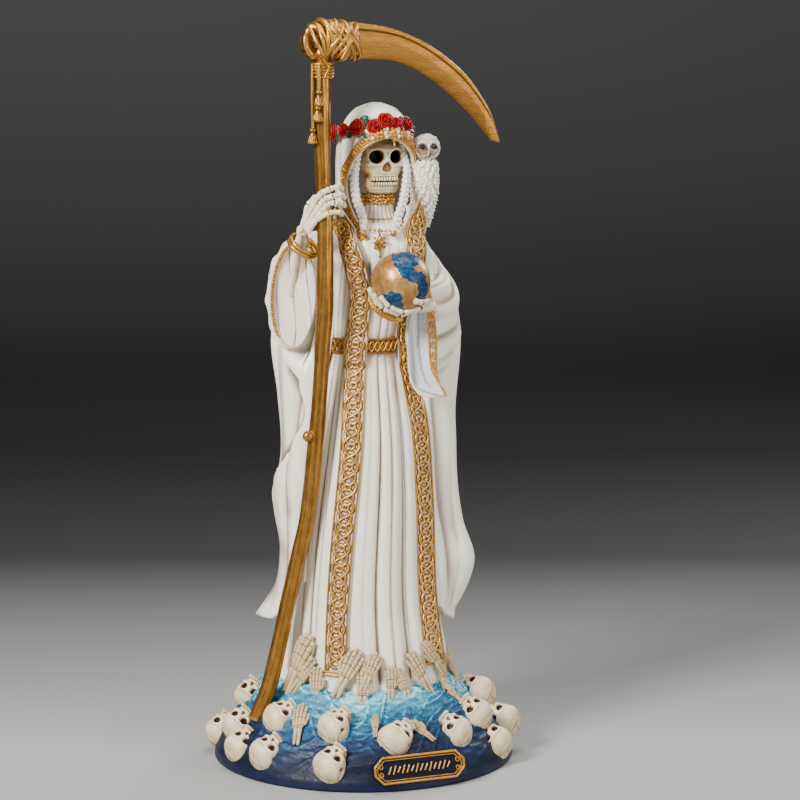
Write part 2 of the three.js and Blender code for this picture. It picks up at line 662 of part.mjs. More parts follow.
function makeBlade() {
  const share = (x, z) => new THREE.Vector3(x * bladeReach, 0, z * bladeReach);
  const backLine = [[0, 0.02], [0.31, -0.02], [0.6, -0.16], [0.89, -0.455], [1, -0.68], [0.985, -0.735]];
  const edgeLine = [[0, -0.2], [0.33, -0.22], [0.655, -0.41], [0.91, -0.67], [0.975, -0.74]];
  const outer = new THREE.CatmullRomCurve3(backLine.map(([x, z]) => share(x, z)));
  const inner = new THREE.CatmullRomCurve3(edgeLine.map(([x, z]) => share(x, z)));
  const root = at(-18, -24, 443);
  const steps = 11;
  const rings = Array.from({ length: steps + 1 }, (_, step) => {
    const back = outer.getPointAt(step / steps);
    const edge = inner.getPointAt(step / steps);
    const thick = bladeThickness * (1 - 0.45 * (step / steps) ** 3);
    const half = [[0, 0.5], [0.13, 0.5], [0.2, 0.28], [1, 0.12]];
    const section = [...half, ...half.map(([across, side]) => [across, -side]).reverse()];
    return section.map(([across, side]) =>
      back.clone().lerp(edge, across).add(new THREE.Vector3(0, -side * thick, 0)).add(root),
    );
  });
  return bodyThrough(rings);
}

function makeLashing() {
  const knob = at(-35.6, -24, 433.5);
  const burl = ball(knob, new THREE.Vector3(knobRadius * 1.06, knobRadius * 0.85, knobRadius * 1.05), 10, 6);
  const cup = ball(
    knob.clone().add(new THREE.Vector3(-knobRadius * 0.3, -knobRadius * 0.8, -knobRadius * 0.05)),
    new THREE.Vector3(knobRadius * 0.5, knobRadius * 0.35, knobRadius * 0.78),
    6,
    4,
  );
  const turns = 5;
  const barrel = Array.from({ length: 2 * turns + 1 }, (_, step) => {
    const along = step / (2 * turns);
    const bulge = 1 + 0.1 * Math.sin(Math.PI * along);
    return {
      place: at(-33 + 18 * along, -24, 435.5 - 2 * along),
      radius: (12.2 * unit + (step % 2 ? cordRadius : 0)) * bulge,
    };
  });
  const bound = limb(barrel.map(({ place }) => place), barrel.map(({ radius }) => radius), 9);
  const wraps = [421, 419.5, 418, 416.5, 415, 413.5].map((z) => at(-34.1, -26, z));
  const collar = limb(wraps, wraps.map((_, step) => poleRadius + (step % 2 ? 1.2 : 0.3) * cordRadius), 8);
  return [burl.subtract(cup), bound, collar];
}

// Three cords hang down the pole's outer side, each with a bell-shaped tassel.
const tasselCords = [
  { angle: -35, length: 17 },
  { angle: -42, length: 26 },
  { angle: -72, length: 39 },
];

function makeTassels() {
  const reach = poleRadius + 1.9 * cordRadius;
  return tasselCords.flatMap(({ angle, length }) => {
    const points = [0, 0.5, 1].map((share) => {
      const along = polar(angle, reach, 0);
      return at(-34.2, -26.3, 421 - share * length).add(along);
    });
    const end = points[2];
    const bell = limb(
      [end.clone().add(at(0, 0, 3)), end, end.clone().add(at(0, 0, -7))],
      [cordRadius * 0.9, cordRadius * 1.7, cordRadius * 2.2],
      5,
    );
    return [limb(points, points.map(() => cordRadius), 4), bell];
  });
}

function makeKnot() {
  const stub = limb([at(-38.5, -27, 205), at(-44, -28, 203)], [2.6 * unit, 2.2 * unit], 5);
  return [stub, ball(at(-45, -28.2, 202.3), at(3.2, 3.2, 3.2), 6, 5)];
}

// Nothing of the casting reaches below the table.
function makeTable() {
  const slab = new THREE.BoxGeometry(4 * baseRadius, 4 * baseRadius, baseRadius);
  slab.translate(0, 0, -baseRadius / 2);
  return solidFrom(slab);
}

// The two castings
function makeFigure() {
  const whole = join([
    makeMound(),
    makeDress(),
    makeBelt(),
    makeStoleEnd("right"),
    makeStoleEnd("left"),
    makeCloak(),
    ...makeSleeves(),
    ...makeMoundSkulls(),
    ...makeHands(),
    ...makeRightArm(),
    ...makeLeftArm(),
    makeGlobe(),
    ...makeHood(),
    makeCollar(),
    makeSkull(at(8.6, -1.5, 368.3), 0, 0, 0, headLength),
    ...makeBraids(),
    ...makeWreath(),
    ...makeOwl(),
    makePlate(),
  ]);
  return whole.subtract(makePole(fitGap)).subtract(makeTable());
}

function makeScythe() {
  return join([makePole(0), makeBlade(), ...makeLashing(), ...makeTassels(), ...makeKnot()]);
}

// The casting's outer skin: small pockets that neighbouring forms close between them are filled with resin.
function outerSkin(vertProperties, triVerts) {
  const shell = Int32Array.from({ length: vertProperties.length / 3 }, (_, corner) => corner);
  const rootOf = (corner) => {
    let root = corner;
    while (shell[root] !== root) root = shell[root];
    return root;
  };
  const point = (corner) => new THREE.Vector3().fromArray(vertProperties, 3 * corner);
  for (let first = 0; first < triVerts.length; first += 3) {
    const roots = [0, 1, 2].map((step) => rootOf(triVerts[first + step]));
    roots.forEach((root) => {
      shell[root] = Math.min(...roots);
    });
  }
  const volumes = new Map();
  for (let first = 0; first < triVerts.length; first += 3) {
    const [a, b, c] = triVerts.slice(first, first + 3);
    const root = rootOf(a);
    volumes.set(root, (volumes.get(root) ?? 0) + point(a).dot(point(b).cross(point(c))));
  }
  const outer = [];
  for (let first = 0; first < triVerts.length; first += 3) {
    if (volumes.get(rootOf(triVerts[first])) > 0) outer.push(...triVerts.slice(first, first + 3));
  }
  return outer;
}

function meshOf(name, solid, material) {
  const { vertProperties, triVerts } = solid.getMesh();
  const geometry = new THREE.BufferGeometry();
  geometry.setAttribute("position", new THREE.BufferAttribute(vertProperties, 3));
  geometry.setIndex(outerSkin(vertProperties, triVerts));
  geometry.computeVertexNormals();
  const mesh = new THREE.Mesh(geometry, material);
  mesh.name = name;
  return mesh;
}

const resin = new THREE.MeshStandardMaterial({ color: 0xe9e4d8, roughness: 0.45, metalness: 0 });
const gilding = new THREE.MeshStandardMaterial({ color: 0xb47a35, roughness: 0.35, metalness: 0.9 });

const part = new THREE.Group();
part.add(meshOf("figure", makeFigure(), resin));
part.add(meshOf("scythe", makeScythe(), gilding));

export default part;
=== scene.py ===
import bpy
import math
import numpy as np
from mathutils import Matrix, Vector, kdtree


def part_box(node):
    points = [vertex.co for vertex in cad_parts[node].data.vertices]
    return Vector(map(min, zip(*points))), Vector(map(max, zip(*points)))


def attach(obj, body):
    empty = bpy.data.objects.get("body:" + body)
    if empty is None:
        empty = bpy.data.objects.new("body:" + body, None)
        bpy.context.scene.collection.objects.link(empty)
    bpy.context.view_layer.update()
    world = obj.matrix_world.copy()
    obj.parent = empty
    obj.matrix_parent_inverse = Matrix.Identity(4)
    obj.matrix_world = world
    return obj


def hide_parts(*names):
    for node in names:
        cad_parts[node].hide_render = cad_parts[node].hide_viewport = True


# A painted resin figure of a hooded skeleton with scythe, globe and owl, on a mound of waves and skulls.
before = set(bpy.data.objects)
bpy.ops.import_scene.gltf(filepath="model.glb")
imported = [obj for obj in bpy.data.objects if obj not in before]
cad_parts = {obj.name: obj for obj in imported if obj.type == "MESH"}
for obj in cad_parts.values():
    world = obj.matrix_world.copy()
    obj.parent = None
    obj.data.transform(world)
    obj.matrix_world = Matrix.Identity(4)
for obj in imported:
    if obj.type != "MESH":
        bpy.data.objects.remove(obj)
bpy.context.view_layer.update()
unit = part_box("figure")[1].z / 398  # metres: the hood's crown stands 398 units above the table
print("frame loaded, one unit is", round(unit * 1000, 3), "mm")


# Selection, placing and finishing

def deselectAll():
    bpy.ops.object.select_all(action="DESELECT")


def only(piece):
    deselectAll()
    piece.select_set(True)
    bpy.context.view_layer.objects.active = piece


def named(name):
    piece = bpy.context.active_object
    piece.name = name
    piece.data.name = name
    return piece


def placesOf(piece):
    places = np.empty(3 * len(piece.data.vertices))
    piece.data.vertices.foreach_get("co", places)
    return places.reshape(-1, 3) / unit


def setPlaces(piece, places):
    piece.data.vertices.foreach_set("co", np.ascontiguousarray(places * unit, float).ravel())
    piece.data.update()


def applied(piece, kind, **settings):
    only(piece)
    change = piece.modifiers.new(kind.title(), kind)
    for key, value in settings.items():
        setattr(change, key, value)
    bpy.ops.object.modifier_apply(modifier=change.name)
    return piece


def closeSeams(piece, gap=0.02):
    only(piece)
    bpy.ops.object.mode_set(mode="EDIT")
    bpy.ops.mesh.select_all(action="SELECT")
    bpy.ops.mesh.remove_doubles(threshold=gap * unit)
    bpy.ops.mesh.dissolve_degenerate(threshold=gap * unit * 0.2)
    bpy.ops.mesh.normals_make_consistent(inside=False)
    bpy.ops.object.mode_set(mode="OBJECT")
    return piece


def joined(name, pieces):
    deselectAll()
    for piece in pieces:
        piece.select_set(True)
    bpy.context.view_layer.objects.active = pieces[0]
    if len(pieces) > 1:
        bpy.ops.object.join()
    return named(name)


def copyOf(piece, matrix):
    twin = piece.copy()
    twin.data = piece.data.copy()
    twin.data.transform(matrix)
    bpy.context.scene.collection.objects.link(twin)
    return twin


# How deep each corner lies between its neighbours, from 0 on a sharp edge through 0.5 to 1 in a crevice.
# The paints turn it into painted highlight on sharp edges, and into wash and painted shade in crevices.
def markWashAndShade(piece, reach, spread):
    mesh = piece.data
    places = placesOf(piece)
    ends = np.empty(2 * len(mesh.edges), int)
    mesh.edges.foreach_get("vertices", ends)
    first, second = ends.reshape(-1, 2).T
    size = len(places)
    count = np.bincount(first, minlength=size) + np.bincount(second, minlength=size)
    soft = places.copy()
    for _ in range(spread):
        for axis in range(3):
            total = np.bincount(first, soft[second, axis], size)
            total = total + np.bincount(second, soft[first, axis], size)
            soft[:, axis] = 0.4 * soft[:, axis] + 0.6 * total / np.maximum(count, 1)
    normals = np.empty(3 * size)
    mesh.vertices.foreach_get("normal", normals)
    depth = ((soft - places) * normals.reshape(-1, 3)).sum(1) / reach
    markWith(piece, "wash_and_shade", np.clip(0.5 + 0.5 * depth, 0, 1))


def markWith(piece, name, values):
    attribute = piece.data.attributes.get(name) or piece.data.attributes.new(name, "FLOAT", "POINT")
    attribute.data.foreach_set("value", np.ascontiguousarray(values, np.float32))


def finished(piece, paint, reach=0.6, spread=6):
    markWashAndShade(piece, reach, spread)
    piece.data.materials.clear()
    piece.data.materials.append(paint)
    only(piece)
    bpy.ops.object.shade_smooth()
    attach(piece, "root")
    return piece


# The camera's turn to the figure's right and its pitch in degrees, its places in metres and its lens in mm
camera = {"turn": 20, "away": 1.6, "height": 0.447, "pitch": 8.13, "side": 0.0225, "lens": 120.15}


def cameraAxes():
    turn = math.radians(camera["turn"])
    right = Vector((math.cos(turn), -math.sin(turn), 0))
    away = Vector((math.sin(turn), math.cos(turn), 0))
    return right, away


# A way given in the view from the front, as right, up and near
def viewWay(way):
    right, away = cameraAxes()
    return (right * way[0] + Vector((0, 0, way[1])) - away * way[2]).normalized()


# Curves through a few chosen values, and points on the robes

def through(pairs):
    spots, values = np.array(pairs, float).T
    slopes = np.gradient(values, spots)

    def value(spot):
        spot = np.clip(spot, spots[0], spots[-1])
        cell = np.clip(np.searchsorted(spots, spot, side="right") - 1, 0, len(spots) - 2)
        wide = spots[cell + 1] - spots[cell]
        s = (spot - spots[cell]) / wide
        leaving = (values[cell] * (1 + 2 * s) + slopes[cell] * wide * s) * (1 - s) ** 2
        return leaving + (values[cell + 1] * (3 - 2 * s) - slopes[cell + 1] * wide * (1 - s)) * s ** 2

    return value


def softLine(points, steps):
    points = np.array(points, float)
    spots = np.arange(len(points), dtype=float)
    fine = np.linspace(0, len(points) - 1, steps)
    return np.stack([through(np.stack([spots, points[:, axis]], 1))(fine) for axis in range(3)], 1)


def easy(value, low, high):
    share = np.clip((value - low) / (high - low), 0, 1)
    return share * share * (3 - 2 * share)


def unitOf(ways):
    return ways / np.linalg.norm(ways, axis=-1, keepdims=True)


# The length run at each point of a path, and the place at a length
def runOf(path):
    return np.r_[0, np.cumsum(np.linalg.norm(np.diff(path, axis=0), axis=1))]


def alongOf(spot, run, path):
    return np.stack([np.interp(spot, run, values) for values in path.T], -1)


# The place on a closed line of points, by its share of the way round
def closedSpot(points, share):
    spot = share * len(points)
    low = np.floor(spot).astype(int) % len(points)
    part = (spot - np.floor(spot))[:, None]
    return points[low] * (1 - part) + points[(low + 1) % len(points)] * part


# How far to the left and to the back the robes' middle stands, by height
leanX = through([[40, 0], [50, 0], [100, -1.9], [200, 0], [250, 0.9], [320, 7.5], [340, 7.5]])
leanY = through([[40, 0], [50, 0], [100, 0.7], [200, 0], [250, -0.3], [320, -2.7], [340, -2.7]])


# A point at an angle and a distance round a middle, with 0 degrees in front
def roundSpot(middle, angle, radius, z):
    turned = np.radians(angle)
    x = middle[0] + radius * np.sin(turned)
    y = middle[1] - radius * np.cos(turned)
    return np.stack([x, y, z + 0 * x], -1)


def robePoint(angle, radius, z):
    return roundSpot((leanX(z), leanY(z)), angle, radius, z)


# Sheets, closed bodies and tubes

def sheetOf(name, across, along, rule):
    deselectAll()
    bpy.ops.mesh.primitive_grid_add(x_subdivisions=across, y_subdivisions=along, size=1)
    piece = named(name)
    flat = np.empty(3 * len(piece.data.vertices))
    piece.data.vertices.foreach_get("co", flat)
    flat = flat.reshape(-1, 3) + 0.5
    setPlaces(piece, rule(flat[:, 0], flat[:, 1]))
    return piece


def shellOf(name, across, along, rule, thickness, gap=0.02):
    piece = closeSeams(sheetOf(name, across, along, rule), gap)
    applied(piece, "SOLIDIFY", thickness=thickness * unit, offset=-1, use_even_offset=False)
    return piece


# A body wound round its rings; its first and last rows draw in to a point.
def woundOf(name, around, along, rule):
    end = 0.5 / along

    def closedRule(u, v):
        inner = np.clip((v - end) / (1 - 2 * end), 0, 1)
        places = rule(u, inner)
        for edge in (v < end, v > 1 - end):
            places[edge] = places[edge].mean(0)
        return places

    return closeSeams(sheetOf(name, around, along + 1, closedRule), 0.005)


def tubesOf(name, runs, sides=2, closed=False):
    line = bpy.data.curves.new(name, "CURVE")
    line.dimensions = "3D"
    line.bevel_depth = unit
    line.bevel_resolution = sides
    line.use_fill_caps = True
    for points, radii in runs:
        points = np.array(points, float)
        spline = line.splines.new("POLY")
        spline.points.add(len(points) - 1)
        spline.points.foreach_set("co", np.c_[points * unit, np.ones(len(points))].ravel())
        spline.points.foreach_set("radius", np.broadcast_to(np.array(radii, float), len(points)).copy())
        spline.use_cyclic_u = closed
    piece = bpy.data.objects.new(name, line)
    bpy.context.scene.collection.objects.link(piece)
    only(piece)
    bpy.ops.object.convert(target="MESH")
    return named(name)


def ballOf(name, centre, radii, segments=24, rings=16):
    deselectAll()
    bpy.ops.mesh.primitive_uv_sphere_add(segments=segments, ring_count=rings, radius=1)
    piece = named(name)
    places = np.empty(3 * len(piece.data.vertices))
    piece.data.vertices.foreach_get("co", places)
    setPlaces(piece, places.reshape(-1, 3) * np.array(radii, float) + np.array(centre, float))
    return piece


# Each bone is thick at its two ends, and a hair's breadth parts it from the next.
def boneRuns(joints, radius, waist=0.66, steps=8, gap=0.12):
    joints = np.array(joints, float)
    share = np.linspace(0, 1, steps)
    girth = waist + (1 - waist) * np.abs(2 * share - 1) ** 2.2
    girth[[0, -1]] *= 0.62
    runs = []
    for start, stop in zip(joints[:-1], joints[1:]):
        slack = gap / max(np.linalg.norm(stop - start), 0.5)
        spots = slack + (1 - 2 * slack) * share
        runs.append((start + (stop - start) * spots[:, None], radius * girth))
    return runs


# Paints

def newPaint(name, **values):
    paint = bpy.data.materials.new(name)
    paint.use_nodes = True
    shader = paint.node_tree.nodes["Principled BSDF"]
    for socket, value in values.items():
        shader.inputs[socket.replace("_", " ")].default_value = value
    return paint


def node(paint, kind, inputs=None, **settings):
    made = paint.node_tree.nodes.new("ShaderNode" + kind)
    for key, value in settings.items():
        setattr(made, key, value)
    for key, value in (inputs or {}).items():
        if isinstance(value, bpy.types.NodeSocket):
            paint.node_tree.links.new(value, made.inputs[key])
        else:
            made.inputs[key].default_value = value
    return made


def rampOf(paint, source, stops):
    ramp = node(paint, "ValToRGB", {"Fac": source})
    marks = ramp.color_ramp.elements
    while len(marks) < len(stops):
        marks.new(0.5)
    for mark, (place, colour) in zip(marks, stops):
        mark.position = place
        mark.color = (*colour, 1)
    return ramp.outputs["Color"]


def mixed(paint, share, first, second, way="MIX"):
    made = node(paint, "Mix", data_type="RGBA", blend_type=way)
    for socket, value in (("Factor", share), ("A", first), ("B", second)):
        kind = "VALUE" if socket == "Factor" else "RGBA"
        spot = [s for s in made.inputs if s.name == socket and s.type == kind][0]
        if isinstance(value, bpy.types.NodeSocket):
            paint.node_tree.links.new(value, spot)
        else:
            spot.default_value = value if socket == "Factor" else (*value, 1)
    return [s for s in made.outputs if s.type == "RGBA"][0]


def patches(paint, size, stretch=(1, 1, 1), detail=4, distortion=0.0):
    spots = node(paint, "TexCoord").outputs["Object"]
    moved = node(paint, "Mapping", {"Vector": spots, "Scale": stretch}).outputs["Vector"]
    inputs = {"Vector": moved, "Scale": 1 / (size * unit), "Detail": detail, "Distortion": distortion}
    return node(paint, "TexNoise", inputs).outputs["Fac"]


def marked(paint, name):
    return node(paint, "Attribute", attribute_name=name).outputs["Fac"]


def ranged(paint, value, low, high, start=0.0, stop=1.0):
    inputs = {"Value": value, "From Min": start, "From Max": stop, "To Min": low, "To Max": high}
    return node(paint, "MapRange", inputs).outputs["Result"]


def summed(paint, first, second):
    return node(paint, "Math", {0: first, 1: second}, operation="ADD", use_clamp=True).outputs["Value"]


# The colour: wash and painted shade in crevices, painted highlight on edges, shifted a little by cloudy
# patches
def washedAndShaded(paint, stops, size, stretch=(1, 1, 1), unevenness=0.5):
    wash_and_shade = marked(paint, "wash_and_shade")
    cloudy = patches(paint, size, stretch, 5)
    shift = ranged(paint, cloudy, -0.5 * unevenness, 0.5 * unevenness)
    return rampOf(paint, summed(paint, wash_and_shade, shift), stops)


def link(paint, value, socket):
    shader = paint.node_tree.nodes["Principled BSDF"]
    paint.node_tree.links.new(value, shader.inputs[socket])


def bumped(paint, height, strength, distance):
    bump = node(paint, "Bump", {"Height": height, "Strength": strength, "Distance": distance * unit})
    link(paint, bump.outputs["Normal"], "Normal")


def uneven(paint, source, low, high):
    link(paint, ranged(paint, source, low, high, 0.3, 0.7), "Roughness")


# Lays on a colour, then brush strokes that make its gloss uneven and may stand up a little
def brushed(paint, colour, strokes, roughness, relief=None):
    link(paint, colour, "Base Color")
    grain = patches(paint, *strokes)
    uneven(paint, grain, *roughness)
    if relief:
        bumped(paint, grain, *relief)
    return paint


# Each paint's colours, from 0 on a sharp edge, a painted highlight, to 1 in a crevice, wash and painted shade
paintStops = {
    "robe": [(0.0, (1.0, 0.96, 0.82)), (0.40, (0.985, 0.93, 0.76)), (0.52, (0.80, 0.73, 0.61)),
             (0.68, (0.46, 0.37, 0.27)), (1.0, (0.17, 0.11, 0.06))],
    "ground": [(0.0, (0.86, 0.83, 0.78)), (0.5, (0.66, 0.62, 0.56)), (0.62, (0.34, 0.22, 0.12)),
               (1.0, (0.09, 0.045, 0.015))],
    "lining": [(0.0, (0.80, 0.80, 0.86)), (0.5, (0.68, 0.68, 0.75)), (1.0, (0.36, 0.33, 0.36))],
    "braid": [(0.0, (0.97, 0.93, 0.84)), (0.42, (0.84, 0.78, 0.66)), (0.54, (0.5, 0.41, 0.30)),
              (1, (0.14, 0.09, 0.05))],
    "bone": [(0.0, (0.90, 0.80, 0.57)), (0.42, (0.76, 0.63, 0.39)), (0.58, (0.46, 0.30, 0.13)),
             (0.72, (0.17, 0.08, 0.025)), (1.0, (0.05, 0.02, 0.01))],
    "pit": [(0.0, (1, 1, 1)), (0.45, (0.62, 0.36, 0.15)), (0.8, (0.16, 0.06, 0.02)),
            (1.0, (0.05, 0.02, 0.008))],
    "hand": [(0.0, (0.64, 0.49, 0.27)), (0.42, (0.47, 0.33, 0.155)), (0.53, (0.30, 0.17, 0.06)),
             (0.68, (0.09, 0.04, 0.012)), (1.0, (0.04, 0.016, 0.006))],
    "joint": [(0.0, (0.11, 0.06, 0.025)), (1.0, (0.03, 0.014, 0.006))],
    "gold": [(0.0, (0.66, 0.355, 0.085)), (0.40, (0.46, 0.225, 0.042)), (0.53, (0.20, 0.082, 0.012)),
             (0.68, (0.06, 0.022, 0.004)), (1.0, (0.02, 0.007, 0.0015))],
    "rose": [(0.0, (0.60, 0.008, 0.008)), (0.42, (0.36, 0.002, 0.004)), (0.56, (0.10, 0.001, 0.001)),
             (1.0, (0.012, 0.0, 0.0))],
    "leaf": [(0.0, (0.02, 0.16, 0.05)), (0.5, (0.004, 0.045, 0.016)), (1.0, (0.001, 0.01, 0.004))],
    "navy": [(0, (0.007, 0.009, 0.028)), (0.6, (0.003, 0.004, 0.014)), (1, (0.001, 0.001, 0.004))],
    "feather": [(0.0, (0.97, 0.93, 0.84)), (0.40, (0.82, 0.75, 0.62)), (0.52, (0.42, 0.34, 0.24)),
                (0.75, (0.12, 0.08, 0.045))],
    "crystal": [(0.3, (0.55, 0.42, 0.28)), (0.6, (0.95, 0.93, 0.9))],
    "eye": [(0.3, (0.004, 0.003, 0.003)), (0.8, (0.02, 0.012, 0.01))],
    "beak": [(0.3, (0.03, 0.02, 0.015)), (0.8, (0.12, 0.08, 0.05))],
}


def makePearl(name, stops):
    paint = newPaint(name, Coat_Weight=0.45, Coat_Roughness=0.22, IOR=1.5)
    colour = washedAndShaded(paint, stops, 14, (1, 1, 0.35), 0.16)
    return brushed(paint, colour, (0.9, (1, 1, 0.12), 3), (0.28, 0.44), (0.22, 0.25))


def makeBone(name, stops, unevenness=0.34):
    paint = newPaint(name, IOR=1.5)
    colour = washedAndShaded(paint, stops, 5, (1, 1, 1), unevenness)
    return brushed(paint, colour, (0.8, (1, 1, 1), 5), (0.38, 0.6), (0.3, 0.25))


def makeGold(name, metallic=0.85, stretch=(1, 1, 1), roughness=(0.26, 0.48), cloud=0.30):
    paint = newPaint(name, Metallic=metallic)
    colour = washedAndShaded(paint, paintStops["gold"], 4, stretch, cloud)
    return brushed(paint, colour, (0.7, stretch, 4), roughness, (0.35, 0.3))


def makeEnamel(name, stops, size, unevenness, grain, roughness, **values):
    paint = newPaint(name, **values)
    return brushed(paint, washedAndShaded(paint, stops, size, (1, 1, 1), unevenness), (grain,), roughness)


def makeCloudy(name, stops, size, grain, roughness, **values):
    paint = newPaint(name, **values)
    return brushed(paint, rampOf(paint, patches(paint, size), stops), (grain,), roughness)


def makeSkullPaint():
    paint = newPaint("skull_ivory", IOR=1.5)
    colour = washedAndShaded(paint, paintStops["bone"], 6, (1, 1, 1), 0.3)
    # The pit mark lays brown paint and painted shade into the skull's hollows.
    stainAndShade = rampOf(paint, marked(paint, "pit"), paintStops["pit"])
    stainedAndShaded = mixed(paint, 1.0, colour, stainAndShade, "MULTIPLY")
    return brushed(paint, stainedAndShaded, (0.8, (1, 1, 1), 5), (0.32, 0.55), (0.2, 0.2))


def makeFeatherPaint():
    paint = newPaint("owl_feathers")
    colour = washedAndShaded(paint, paintStops["feather"], 2.2, (1, 1, 1), 0.4)
    # The face mark tints the face disc pale brown, and paints shade on the owl's lower left with the same
    # tint.
    discAndShadeTint = mixed(paint, 1.0, colour, (0.62, 0.47, 0.32), "MULTIPLY")
    discTintedAndShaded = mixed(paint, marked(paint, "face"), colour, discAndShadeTint)
    return brushed(paint, discTintedAndShaded, (0.7, (1, 1, 0.4), 5), (0.45, 0.65), (0.5, 0.35))


# Most paints here: painted highlight on sharp edges, wash and painted shade in crevices.
pearlPaint = makePearl("pearl_robe", paintStops["robe"])
groundPaint = makePearl("silvery_ground", paintStops["ground"])
# The left sleeve's lining is the robe's white painted cooler and darker, as painted shade inside the sleeve.
shadedLiningPaint = makePearl("shaded_lining", paintStops["lining"])
braidPaint = makePearl("braided_white", paintStops["braid"])
bonePaint = makeBone("washed_and_shaded_ivory", paintStops["bone"])
handPaint = makeBone("washed_and_shaded_hand_bone", paintStops["hand"], 0.3)
jointPaint = makeBone("joint_wash_and_shade", paintStops["joint"])
skullPaint = makeSkullPaint()
goldPaint = makeGold("antique_gold")
trimGold = makeGold("trim_gold", 0.7)
poleGold = makeGold("carved_gold", 0.85, (1, 1, 0.5), (0.26, 0.42), 0.2)
bladeGold = makeGold("brushed_gold", 0.9, (0.15, 1, 1), (0.22, 0.4), 0.1)
rosePaint = makeEnamel("rose_red", paintStops["rose"], 2, 0.25, 1, (0.25, 0.4), Specular_IOR_Level=0.3)
leafPaint = makeEnamel("leaf_green", paintStops["leaf"], 2, 0.3, 1, (0.3, 0.45),
                       Coat_Weight=0.3, Coat_Roughness=0.2)
navyPaint = makeEnamel("navy_board", paintStops["navy"], 4, 0.5, 1.5, (0.5, 0.7), Specular_IOR_Level=0.15)
crystalPaint = makeCloudy("cut_crystal", paintStops["crystal"], 1, 0.8, (0.1, 0.25),
                          Metallic=0.2, Coat_Weight=1.0, Coat_Roughness=0.05)
eyePaint = makeCloudy("owl_black", paintStops["eye"], 2, 1, (0.25, 0.4), Specular_IOR_Level=0.3)
beakPaint = makeCloudy("owl_beak", paintStops["beak"], 1, 1, (0.25, 0.4), Coat_Weight=0.3)
featherPaint = makeFeatherPaint()
print("paints mixed")


# The mound of waves

mound = {  # the foot is the share of its rows that stand at the rim
    "radius": 91.5, "foot": 0.03, "wave": 1.8, "stroke": 0.34, "around": 620, "along": 150,
    "sea": [(0.0, (0.58, 0.80, 0.82)), (0.14, (0.17, 0.53, 0.64)), (0.32, (0.025, 0.24, 0.38)),
            (0.50, (0.006, 0.085, 0.21)), (0.68, (0.003, 0.018, 0.07)), (1.0, (0.002, 0.004, 0.02))],
    "crest": [(0.30, (0.8, 0.8, 0.8)), (0.47, (0.46, 0.46, 0.46)), (0.66, (0.05, 0.05, 0.05))],
}
moundShare = through([[0, 52], [0.3, 51.5], [0.57, 50], [0.656, 45], [0.743, 38], [0.83, 29], [0.907, 21],
                      [0.95, 14.6], [0.984, 7.6], [1, 4.5]])


def swirl(angle, share, arms, pitch):
    turned = np.radians(angle)
    bent = 2.6 * np.sin(2 * turned + 7 * share) + 1.9 * np.sin(5 * turned - 9 * share + 1)
    bent = bent + np.sin(9 * turned + 12 * share)
    return np.sin(arms * turned + pitch * share + bent)


def moundSpot(angle, share, z):
    return roundSpot((0, 0), angle, mound["radius"] * share, z)


def moundTop(angle, share):
    turned = np.radians(angle)
    swell = np.sin(5 * turned + 9 * share) * mound["wave"] + np.sin(9 * turned - 14 * share) * 0.9
    fade = np.clip(1 - np.abs(share - 0.74) / 0.24, 0, 1)
    crest = 3.4 * np.exp(-((share - 0.60) / 0.05) ** 2) * (0.5 + 0.5 * np.sin(6 * turned + 1.2)) ** 2
    edge = easy(1 - share, 0.0, 0.05)
    ridge = 1 - np.abs(swirl(angle, share, 6, 22))
    second = 1 - np.abs(swirl(angle + 50, share, -5, 27))
    strokes = mound["stroke"] * (swirl(angle, share, 26, 150) + 0.7 * swirl(angle + 40, share, -19, 190))
    return moundShare(share) + swell * fade + crest + (1.7 * ridge ** 3 + 1.1 * second ** 3 + strokes) * edge


def makeMound():
    def rule(u, v):
        angle = 360 * u
        foot = np.clip(v / mound["foot"], 0, 1)
        upper = 0.5 + 0.494 * (1 - (v - mound["foot"]) / (1 - mound["foot"]))
        share = np.where(v < mound["foot"], 1 - 0.006 * foot ** 2, upper)
        return moundSpot(angle, share, moundTop(angle, share) * foot)

    piece = woundOf("wave_mound", mound["around"], mound["along"], rule)
    places = placesOf(piece)
    share = np.hypot(places[:, 0], places[:, 1]) / mound["radius"]
    angle = np.degrees(np.arctan2(places[:, 0], -places[:, 1]))
    turned = np.radians(angle)
    brush = 0.09 * swirl(angle, share, 26, 150) + 0.08 * swirl(angle + 40, share, -19, 190)
    sweep = 0.10 * np.sin(4 * turned + 9 * share) + 0.06 * np.sin(9 * turned - 7 * share + 1)
    level = 0.10 + (51 - places[:, 2]) / 44
    markWith(piece, "shore", np.clip(level + brush + sweep, 0, 1))
    paint = newPaint("painted_sea", Specular_IOR_Level=0.3)
    shore = marked(paint, "shore")
    curls = patches(paint, 5, (1, 1, 1), 8, 3.2)
    sea = rampOf(paint, summed(paint, shore, ranged(paint, curls, -0.26, 0.26)), mound["sea"])
    # Ridges are lightened as white wave crests, and hollows darkened as painted shade.
    crest = rampOf(paint, marked(paint, "wash_and_shade"), mound["crest"])
    link(paint, mixed(paint, 0.8, sea, crest, "OVERLAY"), "Base Color")
    uneven(paint, curls, 0.34, 0.6)
    bumped(paint, curls, 0.4, 0.6)
    return finished(piece, paint, reach=0.3, spread=3)


# The dress, with long folds that fan from the belt to the hem

dress = {"around": 400, "along": 120, "bottom": 44, "top": 328}
dressRadius = through([[40, 55], [70, 51], [100, 47], [157, 42], [200, 36], [235, 29], [252, 25.5], [270, 27],
                       [300, 29], [316, 28.5], [326, 22], [338, 12]])
foldDepth = through([[46, 4.4], [110, 3.8], [200, 2.4], [240, 1.5], [250, 0.7], [258, 0.9], [275, 1.2],
                     [305, 1.1], [326, 0]])


